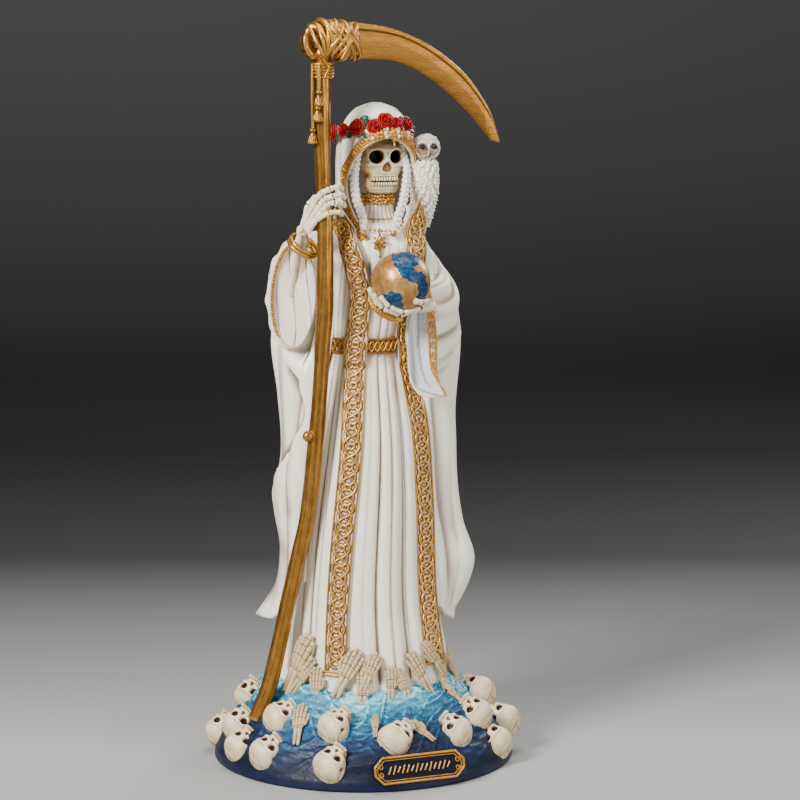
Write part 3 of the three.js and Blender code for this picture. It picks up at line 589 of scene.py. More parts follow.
def dressFace(angle, z):
    fanned = angle + 7 * easy(z, 230, 60)
    turned = np.radians(fanned)
    broad = 13 * turned + 0.9 * np.sin(2 * turned + 0.6) + 0.5 * np.sin(5 * turned)
    fine = 29 * turned + 0.9 * np.sin(3 * turned + 1) + 0.5 * np.sin(11 * turned)
    groove = 1 - np.abs(np.sin(broad / 2)) ** 0.55
    narrow = (1 - np.abs(np.sin(fine / 2)) ** 0.6) * (0.6 + 0.4 * np.sin(5 * turned + 0.4))
    narrow = narrow * (1.3 - 0.8 * easy(z, 215, 110))
    recess = 4.5 * np.exp(-((angle + 60) / 3.2) ** 2) * easy(z, 215, 120)  # the deep fold behind the pole
    return dressRadius(z) - foldDepth(z) * (0.85 * groove + 0.5 * narrow) - recess


def makeDress():
    def rule(u, v):
        angle = 360 * u
        z = dress["bottom"] + (dress["top"] - dress["bottom"]) * v
        return robePoint(angle, dressFace(angle, z), z)

    piece = woundOf("pleated_dress", dress["around"], dress["along"], rule)
    finished(piece, pearlPaint, reach=0.5, spread=12)
    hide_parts("figure")
    return piece


# The cloak: its columns run from the right front edge round the back, each with its radius by height

cloak = {"start": -66, "end": -322, "top": 337, "neck": 23, "thickness": 2.2, "across": 250, "along": 112}
cloakColumns = [
    (-66, [[100, 46.8], [150, 43.5], [205, 36.5], [262, 27.5], [318, 28]]),
    (-80, [[100, 48], [150, 48], [205, 44], [250, 38], [275, 34], [300, 34], [318, 29]]),
    (-96, [[84, 58], [105, 51], [125, 48], [157, 51], [186, 48], [222, 49], [262, 50], [300, 44], [318, 33]]),
    (-112,
     [[84, 66], [104, 52], [125, 48.5], [157, 53], [186, 49.5], [222, 52], [262, 57], [300, 48], [318, 36]]),
    (-135, [[80, 60], [104, 53], [150, 51], [205, 49], [262, 49], [300, 44], [318, 36]]),
    (-170, [[78, 60], [110, 54], [160, 48], [205, 44], [262, 42], [300, 38], [318, 34]]),
    (-215, [[78, 60], [110, 56], [160, 50], [205, 46], [262, 44], [300, 38], [318, 33]]),
    (-262, [[80, 52], [98, 60], [120, 64], [160, 54], [205, 51], [262, 50], [290, 45], [320, 29]]),
    (-290, [[84, 57], [90, 58], [97, 62], [105, 66], [120, 70], [145, 62.5], [160, 59.5], [205, 56],
            [277, 53], [303, 38], [320, 28]]),
    (-306, [[84, 52], [97, 54], [120, 54], [160, 47], [205, 43], [262, 37], [303, 32], [320, 28]]),
    (-322, [[92, 46.5], [120, 44.5], [160, 40.5], [205, 34.5], [262, 27], [318, 27]]),
]
cloakHem = through([[-322, 100], [-306, 90], [-290, 85], [-262, 82], [-215, 76], [-170, 76], [-135, 80],
                    [-112, 85], [-96, 88], [-80, 104], [-66, 112]])
# The back edge of the flap at the cloak's right front, as an angle by height
flapEdge = through([[150, -118], [172, -104], [186, -90], [200, -79], [209, -74.5], [222, -76], [236, -85],
                    [250, -97], [262, -108]])


def cloakFace(angle, z):
    angles = np.array([column[0] for column in cloakColumns], float)
    radii = np.stack([through([*rows, [cloak["top"], cloak["neck"]]])(z) for _, rows in cloakColumns])
    cell = np.clip(np.searchsorted(-angles, -angle, side="right") - 1, 0, len(angles) - 2)
    share = np.clip((angle - angles[cell]) / (angles[cell + 1] - angles[cell]), 0, 1)
    share = share * share * (3 - 2 * share)
    spot = np.arange(len(angle))
    radius = radii[cell, spot] * (1 - share) + radii[cell + 1, spot] * share
    turned = np.radians(angle + 5 * np.sin(z / 60))
    inward = np.sin(np.pi * (angle - cloak["start"]) / (cloak["end"] - cloak["start"])) ** 0.7
    deep = np.interp(z, [60, 110, 200, 300, 330], [4.4, 4.0, 2.8, 1.7, 0.5])
    broad = 1 - np.abs(np.sin(4.5 * turned + 0.4 * np.sin(3 * turned))) ** 0.7
    narrow = 1 - np.abs(np.sin(10.5 * turned + 0.8 * np.sin(2 * turned) + 0.2 * np.sin(z / 30))) ** 0.7
    layer = 4 * easy(angle, flapEdge(z) - 2, flapEdge(z) + 1) * easy(z, 150, 180) * easy(z, 252, 238)
    return radius + deep * (0.4 - 1.25 * broad - 0.75 * narrow) * inward + layer


def makeCloak():
    def rule(u, v):
        angle = cloak["start"] + (cloak["end"] - cloak["start"]) * u
        ripple = 1.6 * np.sin(np.radians(9 * angle)) * (1 - v)
        z = cloakHem(angle) + ripple + (cloak["top"] - cloakHem(angle) - ripple) * v
        return robePoint(angle, cloakFace(angle, z), z)

    piece = shellOf("cloak", cloak["across"], cloak["along"], rule, cloak["thickness"])
    return finished(piece, pearlPaint, reach=0.6, spread=14)


makeMound()
makeDress()
makeCloak()
print("mound, dress and cloak made")


# The stole: two bands that run down from the shoulders over the belt

stole = {"width": 14, "border": 0.6, "foot": 4, "panel": 11.8, "strand": 0.74, "knotWidth": 9.8, "ring": 3.9,
         "level": 0.42, "weave": 0.34}
# Each band's middle as an angle by height, its turn to the front, how far it stands off, and its bulk
stoleLines = {
    "right": ([[59.5, -38.5], [130, -34.5], [200, -30.5], [262, -31.5], [280, -31.5], [296, -37], [312, -47],
               [324, -60], [333, -76]], 0, [[60, 0.2], [286, 0.3], [300, 3.0], [334, 5.0]], 6),
    "left": ([[62, 34], [130, 38], [200, 41], [240, 40], [262, 37], [296, 32], [316, 31], [326, 40],
              [334, 60]],
             22, [[60, 1.8], [170, 2.2], [205, 3.4], [240, 3.2], [262, 2.0], [334, 2.0]], 7),
}


def stoleReach(z):
    over = 1.6 * easy(z, 242, 246) * easy(z, 261, 257)
    return np.maximum(dressRadius(z), 26) + over + 0.4


# A band over the robes: its length, and the place at a length, a way across and a height above it
def bandOf(line, turned, lift):
    z = np.linspace(line[0][0], line[-1][0], 500)
    centre = robePoint(through(line)(z), stoleReach(z) + np.interp(z, *np.array(lift).T), z)
    run = runOf(centre)
    turn = math.radians(turned)

    def spot(s, t, h):
        place = alongOf(s, run, centre)
        level = np.interp(s, run, z)
        along = unitOf(alongOf(s + 1.5, run, centre) - alongOf(s - 1.5, run, centre))
        out = unitOf(place - np.stack([leanX(level), leanY(level), level], -1))
        x, y = out[..., 0].copy(), out[..., 1].copy()
        out[..., 0] = x * math.cos(turn) + y * math.sin(turn)
        out[..., 1] = y * math.cos(turn) - x * math.sin(turn)
        across = unitOf(np.cross(along, out))
        rise = h - t * t / (2 * stoleReach(level)) * (0.3 if turned else 1)
        return place + across * t[..., None] + out * rise[..., None]

    return run[-1], spot


# Two strands that weave down the band, a ring in each panel and a small ring between two
def knotRuns(length, spot, count):
    panel = (length - stole["foot"]) / count
    wide = stole["knotWidth"] / 2
    runs = []
    s = np.linspace(0, count, count * 40 + 1)
    wave = np.cos(np.pi * s)
    for way in (-1, 1):
        level = stole["level"] + way * stole["weave"] * np.sin(2 * np.pi * s + 0.4)
        runs.append(spot(stole["foot"] + panel * s, way * wide * np.sign(wave) * np.abs(wave) ** 0.8, level))
    turn = np.linspace(0, 2 * np.pi, 41)
    for number in range(count):
        down = stole["foot"] + panel * (number + 0.5) + panel * 0.41 * np.sin(turn)
        level = stole["level"] + stole["weave"] * np.sin(4 * turn)
        runs.append(spot(down, stole["ring"] * np.cos(turn), level))
        if number:
            down = stole["foot"] + panel * number + 1.9 * np.sin(turn)
            runs.append(spot(down, 1.7 * np.cos(turn), stole["level"] + 0 * turn))
    return runs


# The ground is darkest close beside the strands, as wash and painted shade
def markBeside(ground, strands):
    marks = np.concatenate(strands)
    tree = kdtree.KDTree(len(marks))
    for number, mark in enumerate(marks):
        tree.insert(mark, number)
    tree.balance()
    gaps = np.array([tree.find(place)[2] for place in placesOf(ground)])
    markWith(ground, "wash_and_shade", np.clip(0.44 + 0.7 * np.exp(-((gaps - stole["strand"]) / 0.5) ** 2), 0, 1))


def makeStole():
    half, border = stole["width"] / 2, stole["border"]
    knots = []
    borders = []
    for side, (line, turned, lift, bulk) in stoleLines.items():
        length, spot = bandOf(line, turned, lift)

        def rule(u, v, length=length, spot=spot):
            t = (u - 0.5) * stole["width"]
            return spot(v * length, t, -0.25 * easy(np.abs(t), half - 0.6, half))

        ground = shellOf("stole_ground_" + side, 30, 450, rule, bulk)
        finished(ground, groundPaint, reach=0.8, spread=4)
        s = np.linspace(0.5, length, 240)
        for t in (-half + border, half - border):
            borders.append((spot(s, np.full(240, t), np.full(240, 0.25)), border))
        foot = np.linspace(-half + 0.5, half - 0.5, 12)
        for s in (0.6, 2.6):
            borders.append((spot(np.full(12, s), foot, np.full(12, 0.3)), border))
        strands = knotRuns(length, spot, int((length - stole["foot"]) // stole["panel"]))
        knots += [(strand, stole["strand"]) for strand in strands]
        markBeside(ground, strands)
    finished(tubesOf("stole_borders", borders), goldPaint, reach=0.5, spread=3)
    return finished(tubesOf("stole_knotwork", knots, 1), goldPaint, reach=0.25, spread=4)


# The belt

belt = {"low": 249.5, "high": 259, "radius": 26.8, "bulk": 3.2, "strand": 0.42, "waves": 24, "swing": 2.9}


def makeBelt():
    low, high, radius = belt["low"], belt["high"], belt["radius"]
    inner = radius - belt["bulk"]
    profile = np.array([[inner, low], [radius, low], [radius + 0.5, low + 0.5], [radius + 0.4, low + 1.2],
                        [radius, low + 1.5], [radius, high - 1.5], [radius + 0.4, high - 1.2],
                        [radius + 0.5, high - 0.5], [radius, high], [inner, high]])

    def rule(u, v):
        radii, z = closedSpot(profile, v).T
        return robePoint(360 * u, radii, z)

    ring = closeSeams(sheetOf("belt_ring", 140, len(profile) * 2, rule))
    finished(ring, trimGold, reach=3.0, spread=2)
    angle = np.linspace(0, 360, 900, endpoint=False)
    runs = []
    for phase in (0, np.pi):
        turned = np.radians(angle) * belt["waves"] + phase
        z = (low + high) / 2 + belt["swing"] * np.sin(turned)
        runs.append((robePoint(angle, radius + 0.2 + 0.3 * np.cos(turned), z), belt["strand"]))
    return finished(tubesOf("belt_plait", runs, 1, True), goldPaint, reach=0.3, spread=3)


# The bell sleeves: rings from the shoulder to the mouth, and on inside it

# The mouth is the share of the rows outside it, and the swing carries the left sleeve's low tip outwards
sleeve = {"around": 150, "along": 120, "mouth": 0.72, "spread": 0.45, "swing": 12.5}
sleeveRings = {
    "right": [
        [[-14, 6, 300], [8, -4, 0], [0, 0, 20]],
        [[-30, 8, 294], [13, -5, 0], [0, 0, 27]],
        [[-41, 5, 285], [14.5, -6.5, 0], [0, 0, 32]],
        [[-46.5, -3, 284], [12.2, -10, 0], [1, -2, 32.5]],
    ],
    "left": [
        [[18, -6, 302], [10, -2, 0], [0, 0, 19]],
        [[33, -10, 290], [14, -6, 0], [-2, 0, 24]],
        [[39, -21, 268], [14, -5.5, 0], [-1, 0, 28.5]],
        [[21.6, -37, 258], [7.2, -1.6, 0], [-1.5, 0, 33.5]],
    ],
}
sleeveLinings = {
    "right": [
        [[-45.9, -7.8, 284], [9.4, -10.9, 0], [1, -2, 31]],
        [[-45.4, -6.6, 284], [8.6, -10.1, 0], [1, -2, 29.6]],
        [[-44.6, -5.2, 284], [6.4, -7.4, 0], [1, -2, 24]],
        [[-44, -4.4, 284], [0.6, -0.7, 0], [0.1, -0.2, 2]],
    ],
    "left": [
        [[20.6, -40, 257], [6.2, -0.6, 0.4], [-1.6, 0.4, 31.6]],
        [[20.8, -38.6, 257], [5.4, -0.5, 0.3], [-1.5, 0.4, 30]],
        [[21.2, -36.6, 257], [3.8, 0, 0], [-1.2, 0.3, 24]],
        [[21.4, -35.6, 257], [0.4, 0, 0], [-0.1, 0, 2]],
    ],
}
# Where each trim runs round the mouth, as shares of a turn, and what it is made of
sleeveTrims = {
    "right": {"from": 0.29, "to": 0.64, "wide": 1.0, "girth": 0.45, "beads": 34, "bead": 0.95, "scrolls": 0},
    "left": {"from": -0.19, "to": 0.2, "wide": 4.6, "girth": 0.55, "beads": 0, "bead": 0, "scrolls": 14},
}
sleeveFolds = {"right": (0.66, 0.6), "left": (1.1, 2.2)}  # how deep the folds are, and where round they start


def sleeveFrame(side, share, lining=False):
    rings = np.array(sleeveRings[side] + sleeveLinings[side][:1], float)
    if lining:
        rings = np.array(sleeveLinings[side], float)
    spots = np.linspace(0, 1, len(rings))
    flat = rings.reshape(len(rings), 9)
    values = [through(np.stack([spots, flat[:, k]], 1))(share) for k in range(9)]
    return np.stack(values, -1).reshape(np.shape(share) + (3, 3))


def sleeveSpot(side, u, share, lining=False, lift=0.0):
    ring = sleeveFrame(side, share, lining)
    middle, across, up = ring[..., 0, :], ring[..., 1, :], ring[..., 2, :]
    turned = 2 * np.pi * u
    spread = sleeve["spread"] if side == "left" else 0
    reach = easy(1 - share, 0.05, 0.8) if lining else easy(share, 0.3, 1.0)
    wider = 1 + spread * np.clip(-np.sin(turned), 0, 1) ** 3 * reach
    out = across * (wider * np.cos(turned))[..., None] + up * np.sin(turned)[..., None]
    depth, phase = sleeveFolds[side]
    wave = np.sin(9 * turned + 5 * share + phase) + 0.6 * np.sin(15 * turned - 7 * share + 2 * phase) - 0.8
    fold = 0 if lining else depth * wave * easy(share, 0.05, 0.45) * easy(1 - share, 0.1, 0.35)
    scale = 1 + (fold + lift) / np.maximum(np.linalg.norm(out, axis=-1), 4)
    place = middle + out * scale[..., None]
    if lining:
        mouth = np.array(sleeveRings[side][-1], float)
        sideways, rise = [(out @ axis) / (axis @ axis) for axis in mouth[1:]]
        crease = np.abs(np.sin(4.4 * sideways + 0.5 * np.sin(2.6 * rise) + 1.1 * phase)) ** 0.5
        away = unitOf(np.cross(mouth[1], mouth[2]))
        place = place - away * (2.6 * (1 - crease) * easy(share, 0.02, 0.2))[..., None]
    if side == "left":
        low = np.sin(turned)
        bend = np.abs(low) ** (4 + 8 * easy(-np.cos(turned), -0.1, 0.6))
        bent = sleeve["swing"] * np.where(low < 0, bend * (1.6 - 0.6 * bend), 0.35 * low ** 2)
        bent = bent * (easy(1 - share, 0.05, 0.8) if lining else easy(share, 0.66, 1.0))
        place = place + np.array((0.94, -0.34, 0)) * bent[..., None]
    return place


def rimSpot(side, u, out, lift):
    edge = sleeveSpot(side, u, np.full(np.shape(u), 1.0))
    across, up = np.array(sleeveRings[side][-1], float)[1:]
    normal = unitOf(np.cross(across, up))
    turned = 2 * np.pi * u
    away = unitOf(across * np.cos(turned)[..., None] * 2.6 + up * np.sin(turned)[..., None])
    return edge + away * np.asarray(out)[..., None] + normal * np.asarray(lift)[..., None]


def makeSleeve(side):
    mouth = sleeve["mouth"]

    def rule(u, v):
        outer = sleeveSpot(side, u, np.clip(v / mouth, 0, 1))
        inner = sleeveSpot(side, u, np.clip((v - mouth) / (1 - mouth), 0, 1), True)
        return np.where((v <= mouth)[:, None], outer, inner)

    piece = woundOf("sleeve_" + side, sleeve["around"], sleeve["along"], rule)
    finished(piece, pearlPaint, reach=0.6, spread=12)

    def liningRule(u, v):
        place = sleeveSpot(side, u, 0.02 + 0.95 * v, True)
        away = np.array(sleeveRings[side][-1][0]) - np.array(sleeveLinings[side][0][0])
        return place - unitOf(away) * 0.35

    lining = shellOf("sleeve_lining_" + side, 116, 46, liningRule, 0.3)
    # The left lining is painted cooler and darker than the right, as painted shade inside the sleeve.
    finished(lining, pearlPaint if side == "right" else shadedLiningPaint, reach=0.4, spread=8)
    makeSleeveTrim(side)


# The white band beside the mouth, its gold edges with beads or scrolls, and the dark seam inside the mouth
def makeSleeveTrim(side):
    trim = sleeveTrims[side]
    start, reach = trim["from"], trim["to"] - trim["from"]

    def rule(u, v):
        fade = np.clip(np.sin(np.pi * v) * 5, 0.25, 1)
        return rimSpot(side, start + reach * v, trim["wide"] * u * fade, 0.3 + 0.2 * np.sin(np.pi * u))

    band = shellOf("sleeve_band_" + side, 10, 160, rule, -0.8)
    finished(band, groundPaint, reach=0.5, spread=3)
    u = np.linspace(start, trim["to"], 160)
    fade = np.clip(np.sin(np.pi * np.linspace(0, 1, 160)) * 5, 0.25, 1)
    runs = [(rimSpot(side, u, trim["wide"] * share * fade, 1.4), trim["girth"]) for share in (0.02, 0.98)]
    shapes = []
    for k in range(trim["beads"]):
        spot = np.array([start + reach * (k + 0.5) / trim["beads"]])
        size = trim["bead"] * (0.8 + 0.25 * math.sin(k * 2.1))
        shapes.append(ballOf("bead", rimSpot(side, spot, 0.5, 1.9)[0], (size, size, size * 1.2), 10, 7))
    turn = np.linspace(0.3, 2 * np.pi * 1.15, 34)
    shrink = 1 - 0.42 * np.linspace(0, 1, 34)
    for k in range(trim["scrolls"]):
        spot = start + reach * (k + 0.6) / (trim["scrolls"] + 0.2)
        along = spot + 0.0118 * shrink * np.cos(turn) * (1 if k % 2 else -1)
        out = trim["wide"] * (0.5 + 0.3 * shrink * np.sin(turn))
        runs.append((rimSpot(side, along, out, 1.6), trim["girth"]))
    shapes.append(tubesOf("trim", runs, 1))
    finished(joined("sleeve_trim_" + side, shapes), trimGold, reach=0.3, spread=3)
    u = np.linspace(0, 1, 240, endpoint=False)
    seam = [(sleeveSpot(side, u, np.full(240, 0.0), True, 0.12), 0.4)]
    return finished(tubesOf("sleeve_edge_" + side, seam, 1, True), handPaint, reach=0.4, spread=3)


# The hood, open in front of the face

hood = {  # lace: how far from the edge, how high and how thick; beads: how far from the edge, and their size
    "middle": (7.5, -2.7), "thickness": 1.7, "around": 240, "along": 120, "low": 313, "high": 397.6,
    "lace": ((0.7, 0.5, 0.8), (5.6, 0.4, 0.5), (2.4, -0.4, 1.0), (4.0, -0.4, 1.0)),
    "beads": ((2.0, 0.85), (3.4, 1.0), (4.8, 0.8)), "beadStep": 2.1,
}
hoodHalf = through([[312, 31], [316, 30], [330, 25.5], [348, 24], [364, 23.8], [374, 22.9], [382, 20.6],
                    [388, 17.6], [392, 14.2], [395, 10.2], [396.6, 5.8], [397.8, 2]])
hoodDeep = through([[312, 28], [316, 27], [330, 24], [348, 23.2], [364, 23.4], [374, 23.2], [382, 21.9],
                    [388, 19.4], [392, 16.2], [395, 12], [397, 7], [397.8, 2]])
hoodOpening = through([[312, 16], [316, 21], [324, 36.5], [336, 57], [349, 67], [357, 62], [363, 55],
                       [368, 45], [372, 33], [375, 20], [377.6, 0], [382, 0], [390, 0], [398, 0]])


def hoodSpot(angle, z, lift=0.0):
    turned = np.radians(angle)
    half, deep = hoodHalf(z), hoodDeep(z)
    soft = 1 - np.abs(np.sin(turned * 4.5 + 0.8 * np.sin(z / 14) + 0.5)) ** 0.7
    fine = np.sin(turned * 17 + z / 11)
    back = 0.5 - 0.5 * np.cos(turned)
    fade = easy(z, 396, 380) * easy(back, 0.02, 0.25)
    sink = (1.5 * soft + 0.35 * fine) * fade
    x = hood["middle"][0] + (half + lift - sink) * np.sin(turned)
    y = hood["middle"][1] - (deep + lift - sink) * np.cos(turned)
    return np.stack([x, y, z + 0 * x], -1)


def makeHood():
    def rule(u, v):
        z = hood["low"] + (hood["high"] - hood["low"]) * (1 - (1 - v) ** 1.35)
        edge = np.maximum(hoodOpening(z), 0)
        return hoodSpot(edge + (360 - 2 * edge) * u, z)

    shell = shellOf("hood", hood["around"], hood["along"], rule, hood["thickness"], 0.25)
    # The cap closes the hood's top
    cap = ballOf("hood_cap", (*hood["middle"], hood["high"] - 0.65), (4.4, 4.4, 0.8), 40, 16)
    finished(joined("hood", [shell, cap]), pearlPaint, reach=0.6, spread=10)
    z = np.r_[np.linspace(318, 374, 90), 374 + 3.6 * np.sin(np.linspace(0, np.pi / 2, 30)[1:])]

    def along(out, lift):
        spread = hoodOpening(z) + np.degrees(out / 24)
        level = z + out * easy(z, 364, 377) * 0.85
        right, left = hoodSpot(-spread, level, lift), hoodSpot(spread, level, lift)
        return np.concatenate([right, left[::-1]])

    shapes = [tubesOf("lace", [(along(out, lift), girth) for out, lift, girth in hood["lace"]], 1)]
    step = hood["beadStep"]
    for row, (out, size) in enumerate(hood["beads"]):
        path = along(out, 0.75)
        run = runOf(path)
        for k in range(int(run[-1] / step)):
            place = alongOf((k + 0.5 * (row % 2)) * step, run, path)
            bead = size * (1 + 0.25 * math.sin(k * 2.3 + row))
            shapes.append(ballOf("bead", place, (bead, bead * 0.9, bead * 1.15), 8, 6))
    return finished(joined("hood_trim", shapes), trimGold, reach=0.3, spread=2)


# Neck: pleated collar, choker, chain and star

neck = {"centre": (7.2, -5), "pleats": 22}
neckRadius = through([[318, 18.5], [322, 16.2], [329, 12.4], [333, 10.2], [338, 9.2], [341, 8.6],
                      [343.5, 5], [344, 4]])


def neckSpot(angle, radius, z):
    return roundSpot(neck["centre"], angle, radius, z)


choker = {"around": 32, "rows": 3, "low": 338.4, "step": 1.9}


def makeCollar():
    def rule(u, v):
        z = 316 + 28 * v
        turn = 2 * np.pi * u
        pleat = np.abs(np.sin(turn * neck["pleats"] / 2 + 0.4 * np.sin(3 * turn))) ** 0.6 - 0.6
        return neckSpot(360 * u, neckRadius(z) + 0.85 * pleat * easy(z, 341, 337), z)

    piece = woundOf("pleated_collar", 264, 44, rule)
    finished(piece, pearlPaint, reach=0.4, spread=8)
    # The neck's bones take the darker hand-bone paint as painted shade under the jaw.
    bones = []
    for k in range(3):
        bones.append(ballOf("bone", neckSpot(0.0, 0.0, 345 + 4 * k), (6.2 - 0.3 * k, 6, 2.2), 32, 14))
    finished(joined("neck_bones", bones), handPaint, reach=0.5, spread=3)
    angle = np.linspace(0, 360, 200, endpoint=False)
    shapes = [tubesOf("rings", [(neckSpot(angle, neckRadius(329.2) + 0.9, 329.2), 0.4)], 1, True)]
    for k in range(choker["around"] * choker["rows"]):
        row = k // choker["around"]
        level = choker["low"] + choker["step"] * row + 0.4 * math.sin(k * 2.6)
        radius = max(float(neckRadius(level)), 8.0) + 0.9
        place = neckSpot(360 * k / choker["around"] + 4 * row, radius, level)
        shapes.append(ballOf("bead", place, (1.05, 1.05, 1.15 + 0.25 * math.sin(k * 1.7)), 9, 7))
    return finished(joined("choker", shapes), goldPaint, reach=0.25, spread=2)


braidTies = [(-9.4, -27.4, 322), (8, -31.8, 321.6)]
necklace = {
    "chain": [(-11, -22.6, 327.4), (-7.5, -26.6, 324.6), (-2.6, -29.4, 323.4), (1.4, -30.4, 323),
              (6, -30.6, 323.2), (11.6, -29.9, 324.6), (15.6, -27.2, 327.6)],
    "beads": 13, "pendant": (-0.6, -31.4, 316.2), "tall": 7.6, "wide": 5.4,
    "studs": ((-3.0, 0.2, 2.8), (3.0, 0.2, 2.8), (-3.0, 0.2, -2.8), (3.0, 0.2, -2.8), (0, 0.4, 7.6),
              (0, 0.3, -8)),
}


def makeNecklace():
    chain = softLine(necklace["chain"], 60)
    spots = np.linspace(0, 1, necklace["beads"])
    beads = [ballOf("bead", chain[int(spot * 59)], (0.85, 0.85, 0.85), 10, 7) for spot in spots]
    pendant = np.array(necklace["pendant"])
    tall, wide = necklace["tall"], necklace["wide"]

    def rule(u, v):
        turned = 2 * np.pi * u
        up, across = np.abs(np.sin(turned)), np.abs(np.cos(turned))
        point = 1.0 / (across ** 0.5 + up ** 0.5) ** 2
        arm = np.where(up > across, tall, wide) / tall
        size = point * (0.5 + 0.5 * arm) * tall * np.sin(np.pi * v) ** 0.8
        x = size * np.cos(turned)
        z = size * np.sin(turned) * 1.2
        return pendant + np.stack([x, -1.9 * np.cos(np.pi * v), z], 1)

    star = woundOf("star", 160, 14, rule)
    studs = [ballOf("stud", pendant + spot, (0.9, 0.7, 0.9), 10, 7) for spot in necklace["studs"]]
    ties = [ballOf("tie", place, (1.9, 1.8, 2.2), 16, 12) for place in braidTies]
    return finished(joined("necklace", [star] + beads + studs + ties), goldPaint, reach=0.4, spread=3)


makeStole()
makeBelt()
makeSleeve("right")
makeSleeve("left")
makeHood()
makeCollar()
makeNecklace()
print("stole, belt, sleeves, hood and collar made")


# One skull, modelled a unit long with its face to +Y; the copies are set on the waves and under the hood
skullTop = 0.27


# How far a place lies from an oval's middle: 1 on its line
def oval(x, z, middle, radii, tilt=0.0):
    dx, dz = x - middle[0], z - middle[1]
    turn = math.radians(tilt)
    across = dx * math.cos(turn) + dz * math.sin(turn)
    up = -dx * math.sin(turn) + dz * math.cos(turn)
    return np.sqrt((across / radii[0]) ** 2 + (up / radii[1]) ** 2)


def makeSkull(name, form, around, along, seams=True):
    def rule(u, v):
        z = skullTop - (skullTop - form["low"]) * (0.5 - 0.5 * np.cos(np.pi * v)) ** 0.92
        return skullSpot(form, 2 * np.pi * u + np.pi, z)

    piece = woundOf(name, around, along, rule)
    x, y, z = placesOf(piece).T.copy()
    face = easy(y, 0.0, 0.2)
    middle = form["swing"] * easy(z, -0.3, -0.6)
    wide = np.abs(x - middle)
    eyeX, eyeZ, eyeWide, eyeTall = form["eye"]
    socket = oval(wide, z, (eyeX, eyeZ), (eyeWide, eyeTall), 14)
    noseZ, noseWide, noseTall = form["nose"]
    rise = np.clip((z - noseZ) / noseTall, -1, 1)
    lobe = np.hypot(wide / (noseWide * (1.05 - 0.62 * rise)), (z - noseZ) / noseTall)
    # pit is brown paint and painted shade in sockets and nose, and painted shade by the mouth, teeth and
    # temples
    pit = face * (easy(socket, 1.03, 0.84) + form["noseShade"] * easy(lobe, 1.1, 0.5))
    hollowX, hollowZ, hollowWide, hollowTall = form["hollow"]
    hollow = face * np.exp(-oval(wide, z, (hollowX, hollowZ), (hollowWide, hollowTall), -20) ** 2 * 1.2)
    templeY, templeZ, templeReach = form["temple"]
    temple = np.exp(-((y - templeY) / templeReach) ** 2 - ((z - templeZ) / (templeReach * 1.15)) ** 2)
    teethWide = form["toothWide"] * form["teethCount"] / 2
    bite = np.exp(-((z - form["bite"]) / 0.013) ** 2) * easy(wide, teethWide + 0.03, teethWide)
    gums = sum(easy(np.abs(z - low), tall * 0.62, tall * 0.45) for low, tall in form["teeth"])
    gums = gums * easy(y, 0.12, 0.25) * easy(wide, teethWide + 0.01, teethWide - 0.04)
    pit += 0.6 * hollow + 0.5 * bite + 0.66 * gums + form["templeShade"] * temple ** 2
    y -= face * form["eyeDepth"] * easy(socket, 1.04, 0.66)
    y -= face * form["noseDepth"] * easy(lobe, 1.08, 0.7)
    y -= 0.014 * gums
    arch = z - eyeZ - eyeTall * 1.12 + 0.6 * (wide - eyeX) ** 2
    brow = np.exp(-(arch / 0.034) ** 2) * easy(wide, 0.36, 0.26)
    y += face * 0.026 * brow
    y += face * 0.012 * np.exp(-((socket - 1.2) / 0.14) ** 2)
    y += face * 0.05 * np.exp(-(x / 0.04) ** 2 - ((z - noseZ - noseTall * 1.25) / 0.06) ** 2)
    cheekX, cheekZ = form["cheek"]
    y += face * 0.055 * np.exp(-((wide - cheekX) / 0.075) ** 2 - ((z - cheekZ) / 0.042) ** 2)
    y -= form["hollowDepth"] * hollow
    x *= 1 - 0.14 * temple
    y -= 0.04 * bite
    setPlaces(piece, np.stack([x, y, z], 1))
    markWith(piece, "pit", np.clip(pit, 0, 1))
    return joined(name, [piece] + makeTeeth(form) + ([makeSutures(piece)] if seams else []))


headSpot = {"centre": (10.2, -1.3, 368.3), "length": 32}
